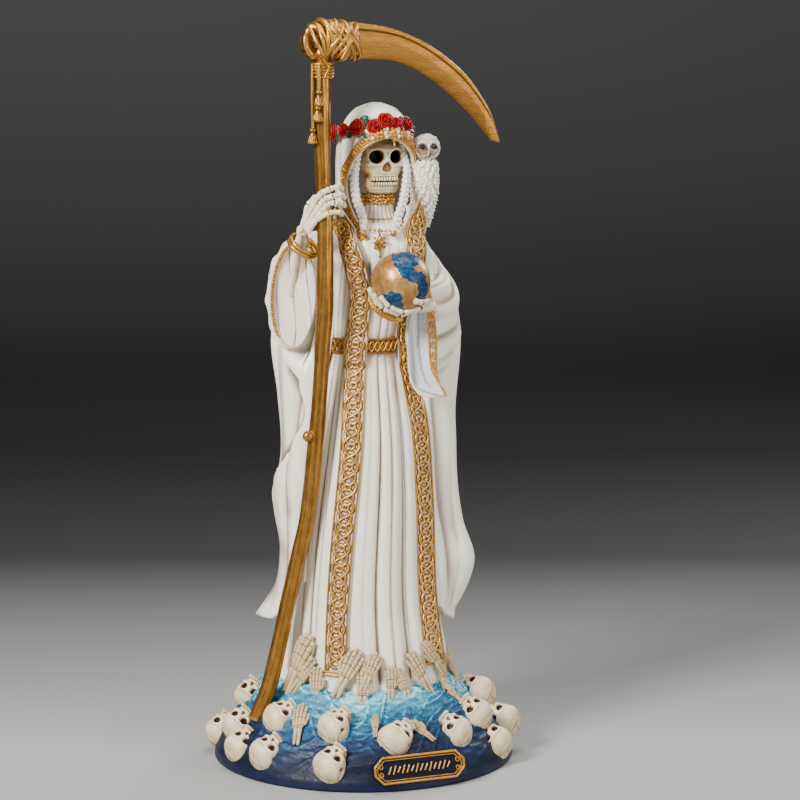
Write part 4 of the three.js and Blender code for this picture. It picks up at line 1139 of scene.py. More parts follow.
# Each skull's angle, share of the mound's radius and height, then the ways of its crown and of its face,
# each as right, up and near in the view from the front
moundSkulls = {"length": 24.6, "spots": [
    (-114, 0.776, 30.5, (-0.55, -0.7, 0.3), (-0.25, 0.55, 0.75)),
    (-110, 0.97, 10, (-0.6, -0.7, 0.4), (0.1, 0.7, 0.5)),
    (-90, 0.90, 21, (-0.7, -0.6, 0.4), (0.1, 0.75, 0.55)),
    (-81, 0.945, 11.5, (-0.75, -0.5, 0.45), (0.1, 0.8, 0.5)),
    (-64.5, 0.94, 13, (-0.85, -0.4, 0.45), (0.2, 0.85, 0.4)),
    (-67, 0.79, 31.5, (-0.9, -0.25, 0.42), (0.15, 0.85, 0.45)),
    (-35.5, 0.80, 31.5, (-0.85, -0.3, 0.5), (0.3, 0.9, 0.15)),
    (-34.3, 0.95, 12, (-0.7, -0.5, 0.55), (0.4, 0.9, 0.15)),
    (-8, 0.85, 25.5, (-0.55, -0.25, 0.8), (0.6, 0.75, 0.0)),
    (26.5, 0.865, 24, (0.86, -0.35, 0.42), (-0.15, 0.85, 0.45)),
    (68, 0.80, 36.5, (0.8, -0.1, 0.55), (-0.35, 0.6, 0.65)),
    (46, 0.84, 28.5, (0.8, -0.4, 0.42), (-0.1, 0.8, 0.55)),
    (66, 0.97, 19.5, (0.82, -0.2, 0.5), (-0.35, 0.6, 0.65)),
    (48.5, 0.965, 12, (0.8, -0.35, 0.5), (-0.25, 0.75, 0.6)),
    (98, 0.82, 32, (0.3, 0.8, 0.1), (0.9, -0.1, 0.3)), (126, 0.90, 16.5, (0.1, 0.6, -0.7), (0.8, 0.3, -0.3)),
    (154, 0.85, 24, (-0.3, 0.8, -0.3), (0.2, 0.2, -0.95)),
    (187, 0.90, 16.5, (0.7, 0.4, -0.5), (0.2, 0.6, -0.8)),
    (219, 0.85, 24, (-0.7, 0.5, -0.4), (-0.4, 0.1, -0.9)),
]}
headForm = {
    "low": -0.775, "swing": 0.06,
    "front": [[-0.775, 0.36], [-0.75, 0.43], [-0.69, 0.465], [-0.6, 0.47], [-0.5, 0.475], [-0.4, 0.465],
              [-0.3, 0.455], [-0.2, 0.45], [-0.1, 0.445], [-0.02, 0.46], [0.05, 0.47], [0.12, 0.42],
              [0.19, 0.29], [0.25, 0.12], [0.27, -0.02]],
    "back": [[-0.775, 0.3], [-0.74, 0.16], [-0.6, 0.04], [-0.46, -0.02], [-0.36, -0.16], [-0.25, -0.33],
             [-0.12, -0.462], [0, -0.478], [0.1, -0.44], [0.19, -0.34], [0.25, -0.18], [0.27, -0.03]],
    "half": [[-0.775, 0.1], [-0.75, 0.22], [-0.7, 0.29], [-0.62, 0.325], [-0.54, 0.325], [-0.46, 0.32],
             [-0.38, 0.345], [-0.3, 0.40], [-0.22, 0.44], [-0.14, 0.445], [-0.05, 0.43], [0.03, 0.42],
             [0.1, 0.385], [0.19, 0.28], [0.25, 0.14], [0.27, 0.01]],
    "eye": (0.188, -0.08, 0.136, 0.134), "eyeDepth": 0.3, "nose": (-0.265, 0.09, 0.1), "noseDepth": 0.045,
    "noseShade": 0.68, "cheek": (0.32, -0.225), "hollow": (0.305, -0.43, 0.03, 0.07), "hollowDepth": 0.08,
    "teeth": [(-0.485, 0.086), (-0.58, 0.08)], "toothWide": 0.05, "teethCount": 10, "bite": -0.533,
    "temple": (0.2, -0.02, 0.08), "templeShade": 0.1,
}
moundForm = {
    "low": -0.56, "swing": 0.0,
    "front": [[-0.56, 0.38], [-0.53, 0.44], [-0.46, 0.455], [-0.38, 0.435], [-0.3, 0.415], [-0.24, 0.42],
              [-0.17, 0.44], [-0.1, 0.44], [0, 0.42], [0.1, 0.36], [0.19, 0.25], [0.25, 0.11], [0.27, -0.02]],
    "back": [[-0.56, 0.3], [-0.53, 0.2], [-0.45, 0.06], [-0.38, -0.1], [-0.3, -0.28], [-0.22, -0.4],
             [-0.12, -0.462], [0, -0.478], [0.1, -0.44], [0.19, -0.34], [0.25, -0.18], [0.27, -0.03]],
    "half": [[-0.56, 0.05], [-0.53, 0.15], [-0.46, 0.205], [-0.4, 0.24], [-0.34, 0.31], [-0.26, 0.365],
             [-0.16, 0.41], [-0.08, 0.425], [0, 0.42], [0.1, 0.375], [0.19, 0.27], [0.25, 0.13],
             [0.27, 0.01]],
    "eye": (0.158, -0.21, 0.092, 0.086), "eyeDepth": 0.11, "nose": (-0.35, 0.045, 0.055), "noseDepth": 0.1,
    "noseShade": 0.8, "cheek": (0.25, -0.325), "hollow": (0.23, -0.43, 0.05, 0.05), "hollowDepth": 0.07,
    "teeth": [(-0.5, 0.09)], "toothWide": 0.05, "teethCount": 8, "bite": -0.9, "temple": (0.2, -0.13, 0.055),
    "templeShade": 0.35,
}


def skullSpot(form, turned, z):
    side, ahead = np.sin(turned), np.cos(turned)
    front, back, half = [through(form[key])(z) for key in ("front", "back", "half")]
    square = 0.86 - 0.14 * easy(z, -0.2, -0.45)
    x = half * np.sign(side) * np.abs(side) ** square + form["swing"] * easy(z, -0.3, -0.6)
    y = (front + back) / 2 + (front - back) / 2 * np.sign(ahead) * np.abs(ahead) ** square
    return np.stack([x, y, z + 0 * x], -1)


def makeTeeth(form):
    turned = np.linspace(-1.45, 1.45, 400)
    teeth = []
    for low, tall in form["teeth"]:
        line = skullSpot(form, turned, np.full(400, low))
        run = runOf(line)
        for k in range(form["teethCount"]):
            spot = run[-1] / 2 + (k - (form["teethCount"] - 1) / 2) * form["toothWide"]
            place = alongOf(spot, run, line)
            across = alongOf(spot + 0.02, run, line) - alongOf(spot - 0.02, run, line)
            tooth = ballOf("tooth", (0, 0, 0), (1, 1, 1), 10, 8)
            spots = placesOf(tooth)
            spots = np.sign(spots) * np.abs(spots) ** 0.8
            height = tall / 2 * (0.9 + 0.08 * math.sin(k * 2.7 + low * 40))
            spots = spots * np.array([form["toothWide"] * 0.38, 0.03, height])
            spots = spots @ np.array(Matrix.Rotation(math.atan2(across[1], across[0]), 3, "Z")).T
            setPlaces(tooth, spots + np.array([place[0], place[1] + 0.004, low]))
            markWith(tooth, "pit", np.full(len(spots), 0.04))
            teeth.append(tooth)
    return teeth


def makeSutures(piece):
    s = np.linspace(-1, 1, 60)
    jag = 0.016 * np.sin(np.arange(60) * 1.9) + 0.010 * np.sin(np.arange(60) * 4.3)
    turn = np.linspace(0.28, -1.15, 60)
    lines = [
        np.stack([np.sin(s * 1.12), 0.28 * np.cos(s * 1.12) + jag, np.cos(s * 1.12)], 1),
        np.stack([jag, np.sin(turn), np.cos(turn)], 1),
        np.stack([0.95 * np.sin(s), -0.95 + jag, 0.46 - 0.62 * np.abs(s)], 1),
    ]
    for way in (-1, 1):
        high = -0.02 + 0.28 * np.sqrt(1 - s * s) + jag
        lines.append(np.stack([way + 0 * s, 0.12 - 0.42 * s + jag, high], 1))
    runs = []
    for rays in lines:
        run = []
        for ray in unitOf(rays):
            hit, spot, normal, _ = piece.ray_cast(Vector((0, -0.02, -0.06)) * unit, Vector(ray))
            if hit:
                run.append(np.array(spot) / unit + np.array(normal) * 0.001)
        thick = 0.0085 * (0.75 + 0.25 * np.sin(np.arange(len(run)) * 0.9))
        runs.append((np.array(run), thick))
    cracks = tubesOf("sutures", runs, 0)
    markWith(cracks, "pit", np.full(len(cracks.data.vertices), 0.72))
    return cracks


def viewMatrix(crown, face):
    tall, ahead = viewWay(crown), viewWay(face)
    ahead = (ahead - tall * ahead.dot(tall)).normalized()
    return Matrix((ahead.cross(tall), ahead, tall)).transposed().to_4x4()


def makeSkulls():
    head = makeSkull("head_skull", headForm, 220, 200, False)
    model = makeSkull("mound_skull", moundForm, 64, 58)
    for number, (angle, share, z, crown, face) in enumerate(moundSkulls["spots"], 1):
        place = Vector(moundSpot(angle, share, z)) * unit
        matrix = Matrix.Translation(place) @ viewMatrix(crown, face) @ Matrix.Scale(moundSkulls["length"], 4)
        skull = copyOf(model, matrix)
        skull.name = "mound_skull_%02d" % number
        finished(skull, skullPaint, reach=0.5, spread=4)
    bpy.data.objects.remove(model)
    matrix = Matrix.Translation(Vector(headSpot["centre"]) * unit) @ Matrix.Rotation(math.pi, 4, "Z")
    head.data.transform(matrix @ Matrix.Scale(headSpot["length"], 4))
    return finished(head, skullPaint, reach=0.45, spread=6)


# A hand of bone a unit tall, from its cut forearm at 0 to its longest fingertip at 1, its back to +Y

handBones = {
    "forearm": [([(-0.045, 0, 0), (-0.05, 0, 0.41)], 0.052), ([(0.047, 0, 0.02), (0.047, 0, 0.41)], 0.048)],
    "wrist": [(-0.095, 0.004, 0.435), (-0.033, 0.01, 0.44), (0.033, 0.01, 0.44), (0.095, 0.004, 0.435)],
    "fingers": [
        ([(-0.10, 0.008, 0.46), (-0.122, 0.016, 0.63), (-0.132, 0.012, 0.76), (-0.134, -0.004, 0.85),
          (-0.13, -0.03, 0.915)], 0.047),
        ([(-0.035, 0.014, 0.46), (-0.042, 0.026, 0.65), (-0.045, 0.022, 0.81), (-0.046, 0.004, 0.91),
          (-0.044, -0.025, 0.985)], 0.048),
        ([(0.035, 0.014, 0.46), (0.042, 0.024, 0.64), (0.045, 0.02, 0.79), (0.046, 0.002, 0.89),
          (0.046, -0.026, 0.96)], 0.047),
        ([(0.10, 0.006, 0.46), (0.124, 0.014, 0.61), (0.132, 0.01, 0.72), (0.136, -0.006, 0.80),
          (0.138, -0.028, 0.86)], 0.043),
    ],
    "thumb": ([(-0.14, 0, 0.46), (-0.19, -0.006, 0.56), (-0.205, -0.012, 0.65), (-0.2, -0.03, 0.72)], 0.042),
}
hemHands = [  # angle and height of the fingertips, then of the cut forearm
    (-57, 84, -73, 46), (-52, 69, -68, 46), (-51, 65, -49, 40), (-21, 77, -37, 48), (-19, 67, -21, 37),
    (-9, 74, -21, 52), (-2, 66, -4, 44), (4, 65, 8, 42), (12, 73.5, 24, 47), (26, 78, 38, 56),
    (41, 68, 37, 44),
    (55, 66, 62, 44), (66, 60, 56, 42), (84, 62, 98, 44), (112, 66, 106, 44), (150, 62, 156, 44),
    (196, 66, 190, 44), (236, 64, 242, 44),
]
waveHands = [  # angle, share of the radius and height of the fingertips, then of the cut forearm
    ((-54, 0.72, 42), (-49, 0.9, 21)), ((-14, 0.76, 39), (-15, 0.85, 27)), ((2, 0.8, 34.5), (11, 0.89, 23)),
    ((37, 0.64, 48), (40, 0.76, 36)),
]


def makeHandModel(name, spread):
    runs = []
    for joints, radius in handBones["forearm"]:
        start, stop = np.array(joints, float)
        share = np.linspace(0, 1, 9)
        girth = np.array([0.62, 0.74, 0.76, 0.78, 0.82, 0.88, 0.96, 1.04, 0.8])
        runs.append((start + (stop - start) * share[:, None], radius * girth))
    for joints, radius in handBones["fingers"] + [handBones["thumb"]]:
        joints = np.array(joints) * np.array([spread, 1, 1])
        for start, stop in zip(joints[:-1], joints[1:]):
            share = np.linspace(0, 1, 7)
            girth = 0.8 + 0.2 * np.abs(2 * share - 1) ** 2
            girth[[0, -1]] *= 0.72
            spots = 0.03 + 0.94 * share
            runs.append((start + (stop - start) * spots[:, None], radius * girth))
    bones = tubesOf("bones", runs, 2)
    knobs = [ballOf("knob", place, (0.038, 0.036, 0.03), 12, 8) for place in handBones["wrist"]]
    knobs.append(ballOf("palm", (0, -0.02, 0.55), (0.13 * spread, 0.03, 0.13), 20, 12))
    return joined(name, [bones] + knobs)


def handMatrix(tip, base, out, mirror):
    rise = Vector(tip) - Vector(base)
    tall = rise.normalized()
    back = (Vector(out) - tall * Vector(out).dot(tall)).normalized()
    side = back.cross(tall).normalized()
    frameOf = Matrix((side * mirror, back, tall)).transposed().to_4x4()
    return Matrix.Translation(Vector(base) * unit) @ frameOf @ Matrix.Scale(rise.length, 4)


def makeHands():
    models = [makeHandModel("hand_model_a", 1.0), makeHandModel("hand_model_b", 0.8)]
    spots = []
    for tipAngle, tipZ, baseAngle, baseZ in hemHands:
        tip = robePoint(tipAngle, dressRadius(tipZ) + 1.9, tipZ)
        base = robePoint(baseAngle, dressRadius(baseZ) + 4.6, baseZ)
        out = robePoint(baseAngle, 10, baseZ) - robePoint(baseAngle, 0, baseZ)
        spots.append((tip, base, out))
    for ends in waveHands:
        tip, base = [moundSpot(*end) + (0, 0, 2.5) for end in ends]
        spots.append((tip, base, np.array([base[0], base[1], 40.0])))
    for number, (tip, base, out) in enumerate(spots, 1):
        mirror = 1 if number % 2 else -1
        hand = copyOf(models[number % 3 // 2], handMatrix(tip, base, out, mirror))
        if mirror < 0:
            hand.data.flip_normals()
        hand.name = "reaching_hand_%02d" % number
        finished(hand, handPaint, reach=0.4, spread=3)
    for model in models:
        bpy.data.objects.remove(model)


# The arms: both forearms, the right hand round the pole with its bangle, the left hand under the globe

rightArm = {
    "forearm": [([(-41.2, 1.5, 279), (-42.2, -17.6, 321.5)], 2.9),
                ([(-45.6, 2.5, 279), (-46.4, -19.4, 321.5)], 2.5)],
    "bones": [
        ([(-46.2, -21.5, 324.3), (-39.8, -30.2, 342.9), (-37.4, -33.2, 346.5), (-33.1, -35.8, 348.9)], 2.25),
        ([(-33.1, -35.8, 348.9), (-27.7, -35.7, 350.3), (-24.2, -31.6, 348.4)], 2.05),
        ([(-44.1, -24.4, 325.6), (-37.9, -31.9, 339.4), (-35.9, -33.8, 343.1), (-31.6, -36.9, 344.8)], 2.25),
        ([(-31.6, -36.9, 344.8), (-26.1, -36.3, 345.3), (-23.1, -32, 343.2)], 2.05),
        ([(-43.6, -26.7, 324.6), (-36.9, -32.3, 335.9), (-33.9, -34.5, 340.3), (-30.6, -37.3, 341.0)], 2.15),
        ([(-30.6, -37.3, 341.0), (-25.6, -36.4, 340.6), (-22.9, -32.1, 338.5)], 1.95),
        ([(-43.4, -26, 323.0), (-40, -30.1, 330.4), (-33.7, -35.6, 335.1)], 2.05),
        ([(-33.7, -35.6, 335.1), (-26.7, -36, 335.3), (-24.2, -31.6, 333.4)], 1.85),
        ([(-44.6, -19.5, 326), (-41, -19.1, 338.7), (-35.9, -18.9, 343.8), (-30.4, -19.6, 345.6)], 2.1),
    ],
    "knobs": [
        ((-44.4, -19.2, 323), (3.8, 3.4, 2.8)), ((-46.2, -21, 324.6), (2.4, 2.4, 2.4)),
        ((-42.8, -22.6, 325.4), (2.6, 2.5, 2.4)), ((-41.2, 1.5, 278), (3.1, 3.1, 3)),
        ((-45.6, 2.5, 278), (2.8, 2.8, 2.8)),
    ],
    "bangle": {"centre": (-42.6, -15, 314.2), "axis": (0.36, -0.5, 0.82), "radius": 8.6, "girth": 1.5},
}
globe = {  # relief is how far the blue areas stand up; land and ocean are cloudy mixes of colours
    "centre": (5.7, -50, 294.6), "radius": 17.4, "relief": 0.3,
    "land": [(0.3, (0.27, 0.13, 0.035)), (0.5, (0.46, 0.235, 0.07)), (0.7, (0.58, 0.33, 0.12))],
    "ocean": [(0.3, (0.002, 0.008, 0.035)), (0.48, (0.003, 0.028, 0.095)), (0.6, (0.006, 0.065, 0.14)),
              (0.75, (0.03, 0.16, 0.21))],
}
leftFingers = [
    [(0.55, 0.05, -0.85), (-0.05, 0.15, -1), (-0.62, 0.3, -0.72), (-0.93, 0.3, -0.15)],
    [(0.5, -0.2, -0.85), (-0.1, -0.15, -1), (-0.62, -0.1, -0.76), (-0.95, -0.1, -0.3)],
    [(0.5, -0.4, -0.8), (-0.1, -0.45, -0.9), (-0.55, -0.45, -0.7), (-0.85, -0.4, -0.35)],
    [(0.75, -0.45, -0.6), (0.45, -0.75, -0.62), (0.1, -0.85, -0.5)],
]
leftWrist = {"wrist": (25.5, -44.5, 280.5), "elbow": (40, -24, 274)}
cuff = {"line": [(-9, -38, 284), (-6.5, -41.5, 278), (-1, -44, 274), (4, -45.5, 272.4), (8, -44.6, 273)],
        "near": (-0.2, -0.9, 0.2), "girth": 1.8, "trim": 0.5}


def makeRightArm():
    runs = []
    for joints, radius in rightArm["forearm"]:
        runs += boneRuns(joints, radius, 0.72, 14)
    for joints, radius in rightArm["bones"]:
        runs += boneRuns(joints, radius, 0.7, 9)
    shapes = [tubesOf("arm_bones", runs, 3)]
    shapes += [ballOf("knob", place, radii, 16, 10) for place, radii in rightArm["knobs"]]
    piece = finished(joined("right_arm", shapes), bonePaint, reach=0.5, spread=4)
    bangle = rightArm["bangle"]
    turned = Vector((0, 0, 1)).rotation_difference(Vector(bangle["axis"])).to_matrix()
    angle = np.linspace(0, 2 * np.pi, 90, endpoint=False)
    rings = []
    for wider, girth, rise in ((0, 1, -1.1), (0.5, 0.8, 1.5)):
        radius = bangle["radius"] + wider
        flat = np.stack([radius * np.cos(angle), radius * np.sin(angle), rise + 0 * angle], 1)
        path = flat @ np.array(turned).T + np.array(bangle["centre"])
        rings.append((path, bangle["girth"] * girth * (1 + 0.08 * np.sin(9 * angle))))
    finished(tubesOf("bangle", rings, 3, True), goldPaint, reach=0.5, spread=3)
    return piece


def makeLeftArm():
    centre = np.array(globe["centre"])
    wrist = np.array(leftWrist["wrist"])
    runs = []
    knobs = []
    for number, finger in enumerate(leftFingers):
        joints = centre + unitOf(np.array(finger, float)) * (globe["radius"] + 1.9)
        girth = 2.05 if number < 3 else 2.3
        runs += boneRuns(joints, girth, 0.68, 9, 0.5)
        root = wrist + (joints[0] - wrist) * 0.12
        runs += boneRuns([root, joints[0]], girth * 1.05, 0.74, 9, 0.5)
        knobs += [ballOf("joint", joint, (girth * 0.66,) * 3, 12, 8) for joint in joints[:-1]]
    for offset in ((0, 1.6, 1.2), (0, -1.6, -1.4)):
        start = np.array(leftWrist["elbow"]) + offset
        runs += boneRuns([start, wrist + np.array(offset)], 2.6, 0.75, 12)
    palm = ballOf("palm", wrist + np.array((-5, -2.5, -1.5)), (8.5, 5.4, 3.4), 28, 18)
    shapes = [tubesOf("hand_bones", runs, 3), palm]
    finished(joined("left_hand_joints", knobs), jointPaint, reach=0.5, spread=4)
    return finished(joined("left_arm", shapes), bonePaint, reach=0.5, spread=4)


# The gold cuff beside the globe: a round band with a cord along each side and two that cross on it
def makeCuff():
    line = softLine(cuff["line"], 50)
    near = np.array(cuff["near"])
    side = unitOf(np.cross(unitOf(np.gradient(line, axis=0)), near))
    wave = 1.1 * np.sin(np.arange(50) * 0.9)[:, None]
    runs = [(line, cuff["girth"])]
    for offset, rise in ((side * 1.5, 0.8), (side * wave, 1.6)):
        runs += [(line + way * offset + near * rise, cuff["trim"]) for way in (1, -1)]
    return finished(tubesOf("cuff_band", runs, 3), goldPaint, reach=0.25, spread=3)


# The globe's blue areas, each an outline in the view from the front: right and up, in radii
globeAreas = [
    [(-0.33, 0.9), (-0.23, 0.69), (-0.12, 0.52), (0.0, 0.4), (0.22, 0.26), (0.5, 0.14), (0.56, -0.17),
     (0.42, -0.57), (0.63, -0.68), (0.86, -0.33), (0.88, -0.1), (0.82, 0.22), (0.72, 0.47), (0.45, 0.54),
     (0.37, 0.58), (0.48, 0.69), (0.66, 0.72), (0.5, 1.0), (0.1, 1.1)],
    [(-0.35, -0.11), (-0.03, -0.17), (0.03, -0.32), (0.0, -0.48), (0.08, -0.62), (0.05, -0.82), (-0.3, -0.95),
     (-0.6, -0.72), (-0.72, -0.4), (-0.64, -0.27), (-0.5, -0.22)],
]


def insideOf(x, y, outline):
    inside = np.zeros(len(x), bool)
    for (ax, ay), (bx, by) in zip(outline, outline[1:] + outline[:1]):
        crosses = (ay > y) != (by > y)
        inside ^= crosses & (x < ax + (bx - ax) * (y - ay) / (by - ay + 1e-12))
    return inside


def makeGlobe():
    centre = np.array(globe["centre"])
    piece = ballOf("globe", centre, (globe["radius"],) * 3, 260, 150)
    rays = (placesOf(piece) - centre) / globe["radius"]
    right, away = cameraAxes()
    p = rays @ np.array(right)
    q = rays[:, 2] * math.cos(0.12) - rays @ np.array(away) * 0.12
    near = rays @ np.array(away) < 0
    p += 0.022 * np.sin(23 * q + 5 * p) + 0.012 * np.sin(61 * q)
    q += 0.022 * np.sin(21 * p + 4 * q) + 0.012 * np.sin(57 * p)
    blue = np.zeros(len(rays))
    for outline in globeAreas:
        blue += insideOf(p, q, outline) & near
        blue += insideOf(-p * 0.9, -q * 0.9, outline) & ~near
    blue = np.clip(blue, 0, 1)
    markWith(piece, "blue", blue)
    ripple = 0.5 + 0.5 * np.sin(26 * q + 6 * np.sin(5 * p)) * np.sin(11 * p + 3)
    height = globe["relief"] * (0.6 + 0.6 * ripple) * blue
    setPlaces(piece, centre + rays * (globe["radius"] + height[:, None]))
    paint = newPaint("painted_globe", Specular_IOR_Level=0.3)
    land = rampOf(paint, patches(paint, 5, (1, 1, 0.6), 5, 1.2), globe["land"])
    ocean = rampOf(paint, patches(paint, 6, (1, 1, 2.4), 6, 1.6), globe["ocean"])
    edge = node(paint, "Math", {0: marked(paint, "blue"), 1: 0.5}, operation="GREATER_THAN").outputs["Value"]
    link(paint, ranged(paint, edge, 0.6, 0.0), "Metallic")
    brushed(paint, mixed(paint, edge, land, ocean), (1.2, (0.3, 0.3, 1), 4), (0.28, 0.46), (0.3, 0.3))
    return finished(piece, paint, reach=0.6, spread=4)


makeSkulls()
makeHands()
makeRightArm()
makeLeftArm()
makeCuff()
print("skulls, hands and arms made")


# Braids, crown of roses and tiara

braids = {
    "lines": [
        [(-4.4, -12, 374), (-5.7, -8.4, 369.7), (-8.8, -12, 361), (-10.8, -15.5, 352.4), (-10.9, -20, 341),
         (-8.6, -24.4, 330.4), (-9.5, -27.6, 321.4)],
        [(20.4, -13, 375), (21.8, -10.5, 369.5), (22.6, -15.5, 359), (20.6, -19.4, 350.8), (16.8, -25, 340.6),
         (11.6, -28.9, 330.3), (7.6, -32, 321.2)],
    ],
    "strand": 1.25, "spread": 1.75, "depth": 1.2, "crossing": 6.6,
}


# The ways outwards from the head and sideways, all along a braid
def frameAlong(path):
    along = unitOf(np.gradient(path, axis=0))
    out = path - (*hood["middle"], 0)
    out[:, 2] = 0
    out = unitOf(out - along * (out * along).sum(1)[:, None])
    return out, np.cross(along, out)


def makeBraids():
    runs = []
    for line in braids["lines"]:
        path = softLine(line, 180)
        run = runOf(path)
        out, side = frameAlong(path)
        taper = np.interp(run, [0, 5, run[-1] - 7, run[-1]], [0.75, 1, 0.9, 0.5])
        for strand in range(3):
            t = 2 * np.pi * (run / braids["crossing"] / 1.5 + strand / 3)
            across = braids["spread"] * np.sin(t) * taper
            depth = braids["depth"] * np.sin(2 * t) * taper
            centre = path + side * across[:, None] + out * depth[:, None]
            for half in (-0.5, 0.5):
                offset = side * (half * np.cos(t) * taper)[:, None]
                runs.append((centre + offset, braids["strand"] * 0.8 * taper))
    return finished(tubesOf("braids", runs, 3), braidPaint, reach=0.4, spread=4)


roses = {
    "radius": 6.1, "middle": (*hood["middle"], 377),
    "layers": [  # how many petals, how far out, how tall, how wide and how curled
        (2, 0.13, 0.80, 1.9, 0.02), (3, 0.29, 0.80, 1.5, 0.06), (3, 0.47, 0.74, 1.5, 0.12),
        (4, 0.66, 0.60, 1.15, 0.22), (5, 0.80, 0.42, 0.95, 0.24),
    ],
    "spots": [
        (-18.4, 2.2, 379.7), (-16.6, -8.6, 381.8), (-10.2, -17.3, 383.8), (-0.8, -23.6, 384.5),
        (6.1, -24.6, 388.0), (13.6, -24.6, 385.5), (22.6, -19, 385.5), (27.4, -13.2, 381.2),
        (30, -4.4, 380.5), (29.6, 5.5, 380), (24, 14, 379), (15.5, 19.2, 378), (5.6, 20.6, 378),
        (-4.5, 18.2, 378), (-12.6, 11.8, 379),
    ],
}


def petalRule(turn, inner, tall, spread, curl):
    def rule(u, v):
        side = (u - 0.5) * 2
        reach = v * (0.5 + 0.5 * np.sqrt(np.clip(1 - side * side * 0.97, 0, 1)))
        angle = turn + side * 0.92 * spread * (0.55 + 0.45 * np.sin(np.pi * np.clip(v, 0, 0.8) * 0.62))
        radius = inner * (0.35 + 0.65 * np.sin(np.clip(reach, 0, 1) * 1.4))
        radius = radius + curl * np.clip(reach - 0.66, 0, 1) ** 2 * 4
        z = tall * reach - curl * np.clip(reach - 0.82, 0, 1) ** 2 * 9
        return np.stack([radius * np.cos(angle), radius * np.sin(angle), z], 1)

    return rule


def makeRoseModel():
    petals = []
    for layer, (count, inner, tall, spread, curl) in enumerate(roses["layers"]):
        for k in range(count):
            rule = petalRule(2 * np.pi * k / count + 0.8 * layer, inner, tall, spread, curl)
            petals.append(shellOf("petal", 10, 8, rule, 0.06, 0.001))
    heart = ballOf("heart", (0, 0, 0.3), (0.12, 0.12, 0.45), 12, 10)
    base = ballOf("base", (0, 0, 0.0), (0.68, 0.68, 0.36), 20, 12)
    return joined("rose_model", petals + [heart, base])


def crownWay(spot):
    return Vector(np.array(spot) - roses["middle"]).normalized()


leafSpots = [  # beside which rose, the way it points along the crown, up or down, its length
    (0, -1, -0.5, 5), (1, -1, -0.9, 6), (2, -1, -1.0, 6), (2, 1, -1.1, 7), (2, 1, 1.2, 6.5),
    (3, -1, 0.5, 5.5), (5, 1, 0.9, 4.5),
    (6, 1, -0.8, 6), (7, 1, 0.4, 5), (8, 1, -0.8, 6), (9, 1, 0.8, 6), (10, 1, -0.8, 6), (11, 1, 0.8, 6),
    (12, 1, -0.8, 6),
    (13, 1, 0.8, 6), (14, 1, -0.7, 6),
]


def makeRoses():
    model = makeRoseModel()
    for number, spot in enumerate(roses["spots"], 1):
        out = crownWay(spot)
        turned = Vector((0, 0, 1)).rotation_difference(out).to_matrix().to_4x4()
        place = Matrix.Translation((Vector(spot) - out * 3.0) * unit)
        size = roses["radius"] * (1.0 if number in (3, 5) else 0.9 + 0.05 * math.sin(number * 2.1))
        rose = copyOf(model, place @ turned @ Matrix.Rotation(number * 1.3, 4, "Z") @ Matrix.Scale(size, 4))
        rose.name = "rose_%02d" % number
        finished(rose, rosePaint, reach=0.45, spread=3)
    bpy.data.objects.remove(model)


def makeLeaves():
    leaves = []
    for number, way, lift, length in leafSpots:
        spot = roses["spots"][number]
        out = crownWay(spot)
        side = Vector((0, 0, 1)).cross(out).normalized()
        tall = out.cross(side).normalized()
        ahead = (side * way + tall * lift).normalized()
        flat = ahead.cross(out).normalized()
        root = Vector(spot) - out * 1.6 + ahead * 3.2

        def rule(u, v, root=root, ahead=ahead, flat=flat, out=out, length=length):
            wide = 0.40 * length * np.sin(np.pi * v ** 0.8) ** 0.8 * (1 + 0.07 * np.sin(v * 34))
            across = (u - 0.5) * 2 * wide
            up = 0.3 * np.abs(across) + 0.8 * np.sin(np.pi * v) - 0.3
            return np.outer(v * length, ahead) + np.outer(across, flat) + np.outer(up, out) + np.array(root)

        leaves.append(shellOf("leaf", 10, 14, rule, 0.5, 0.01))
    angle = np.linspace(0, 2 * np.pi, 80, endpoint=False)
    x, y = hood["middle"]
    circle = np.stack([x + 20.6 * np.sin(angle), y - 20.2 * np.cos(angle), 382 + 2.4 * np.cos(angle)], 1)
    twig = tubesOf("twig", [(circle, 1.6)], 2, True)
    return finished(joined("rose_leaves", leaves + [twig]), leafPaint, reach=0.5, spread=3)


tiara = {  # angles round the hood; wires: height and girth; rows: how many stones, height and size
    "middle": 8, "start": -38, "end": 54, "step": 6.6, "wires": ((375.6, 0.7), (377.8, 0.6)),
    "rows": ((11, 376.4, 1.05), (9, 378.4, 1.25), (6, 380.2, 1.1)),
}


def makeTiara():
    middle = tiara["middle"]
    angle = np.linspace(tiara["start"], tiara["end"], 80)
    arch = 3.4 * np.cos(np.radians((angle - middle) * 1.7))
    wires = [(hoodSpot(angle, z + arch, 0.9), girth) for z, girth in tiara["wires"]]
    gold = []
    crystals = []
    for row, (count, low, size) in enumerate(tiara["rows"]):
        for k in range(count):
            turned = middle + (k - (count - 1) / 2) * tiara["step"] + 1.2 * math.sin(k * 2.4 + row)
            arch = 2.6 * math.cos(math.radians((turned - middle) * 1.9))
            level = low + arch - 0.4 + 0.4 * math.sin(k * 1.7)
            place = hoodSpot(np.array([turned]), np.array([level]), 1.3)[0]
            bead = ballOf("bead", place, (size, size, size * 1.2), 10, 7)
            (crystals if (k + row) % 3 == 0 else gold).append(bead)
    drop = hoodSpot(np.array([float(middle)]), np.array([377.2]), 0.4)[0]
    gold.append(ballOf("drop", drop + (0, 0, -1), (1.1, 1, 2.1), 14, 10))
    gold.append(ballOf("drop", drop + (0, -0.4, -4), (0.8, 0.8, 1.4), 12, 8))
    finished(joined("tiara_crystals", crystals), crystalPaint, reach=0.3, spread=2)
    piece = joined("tiara", [tubesOf("tiara_wire", wires, 1)] + gold)
    return finished(piece, trimGold, reach=0.3, spread=3)


# The owl on the left shoulder

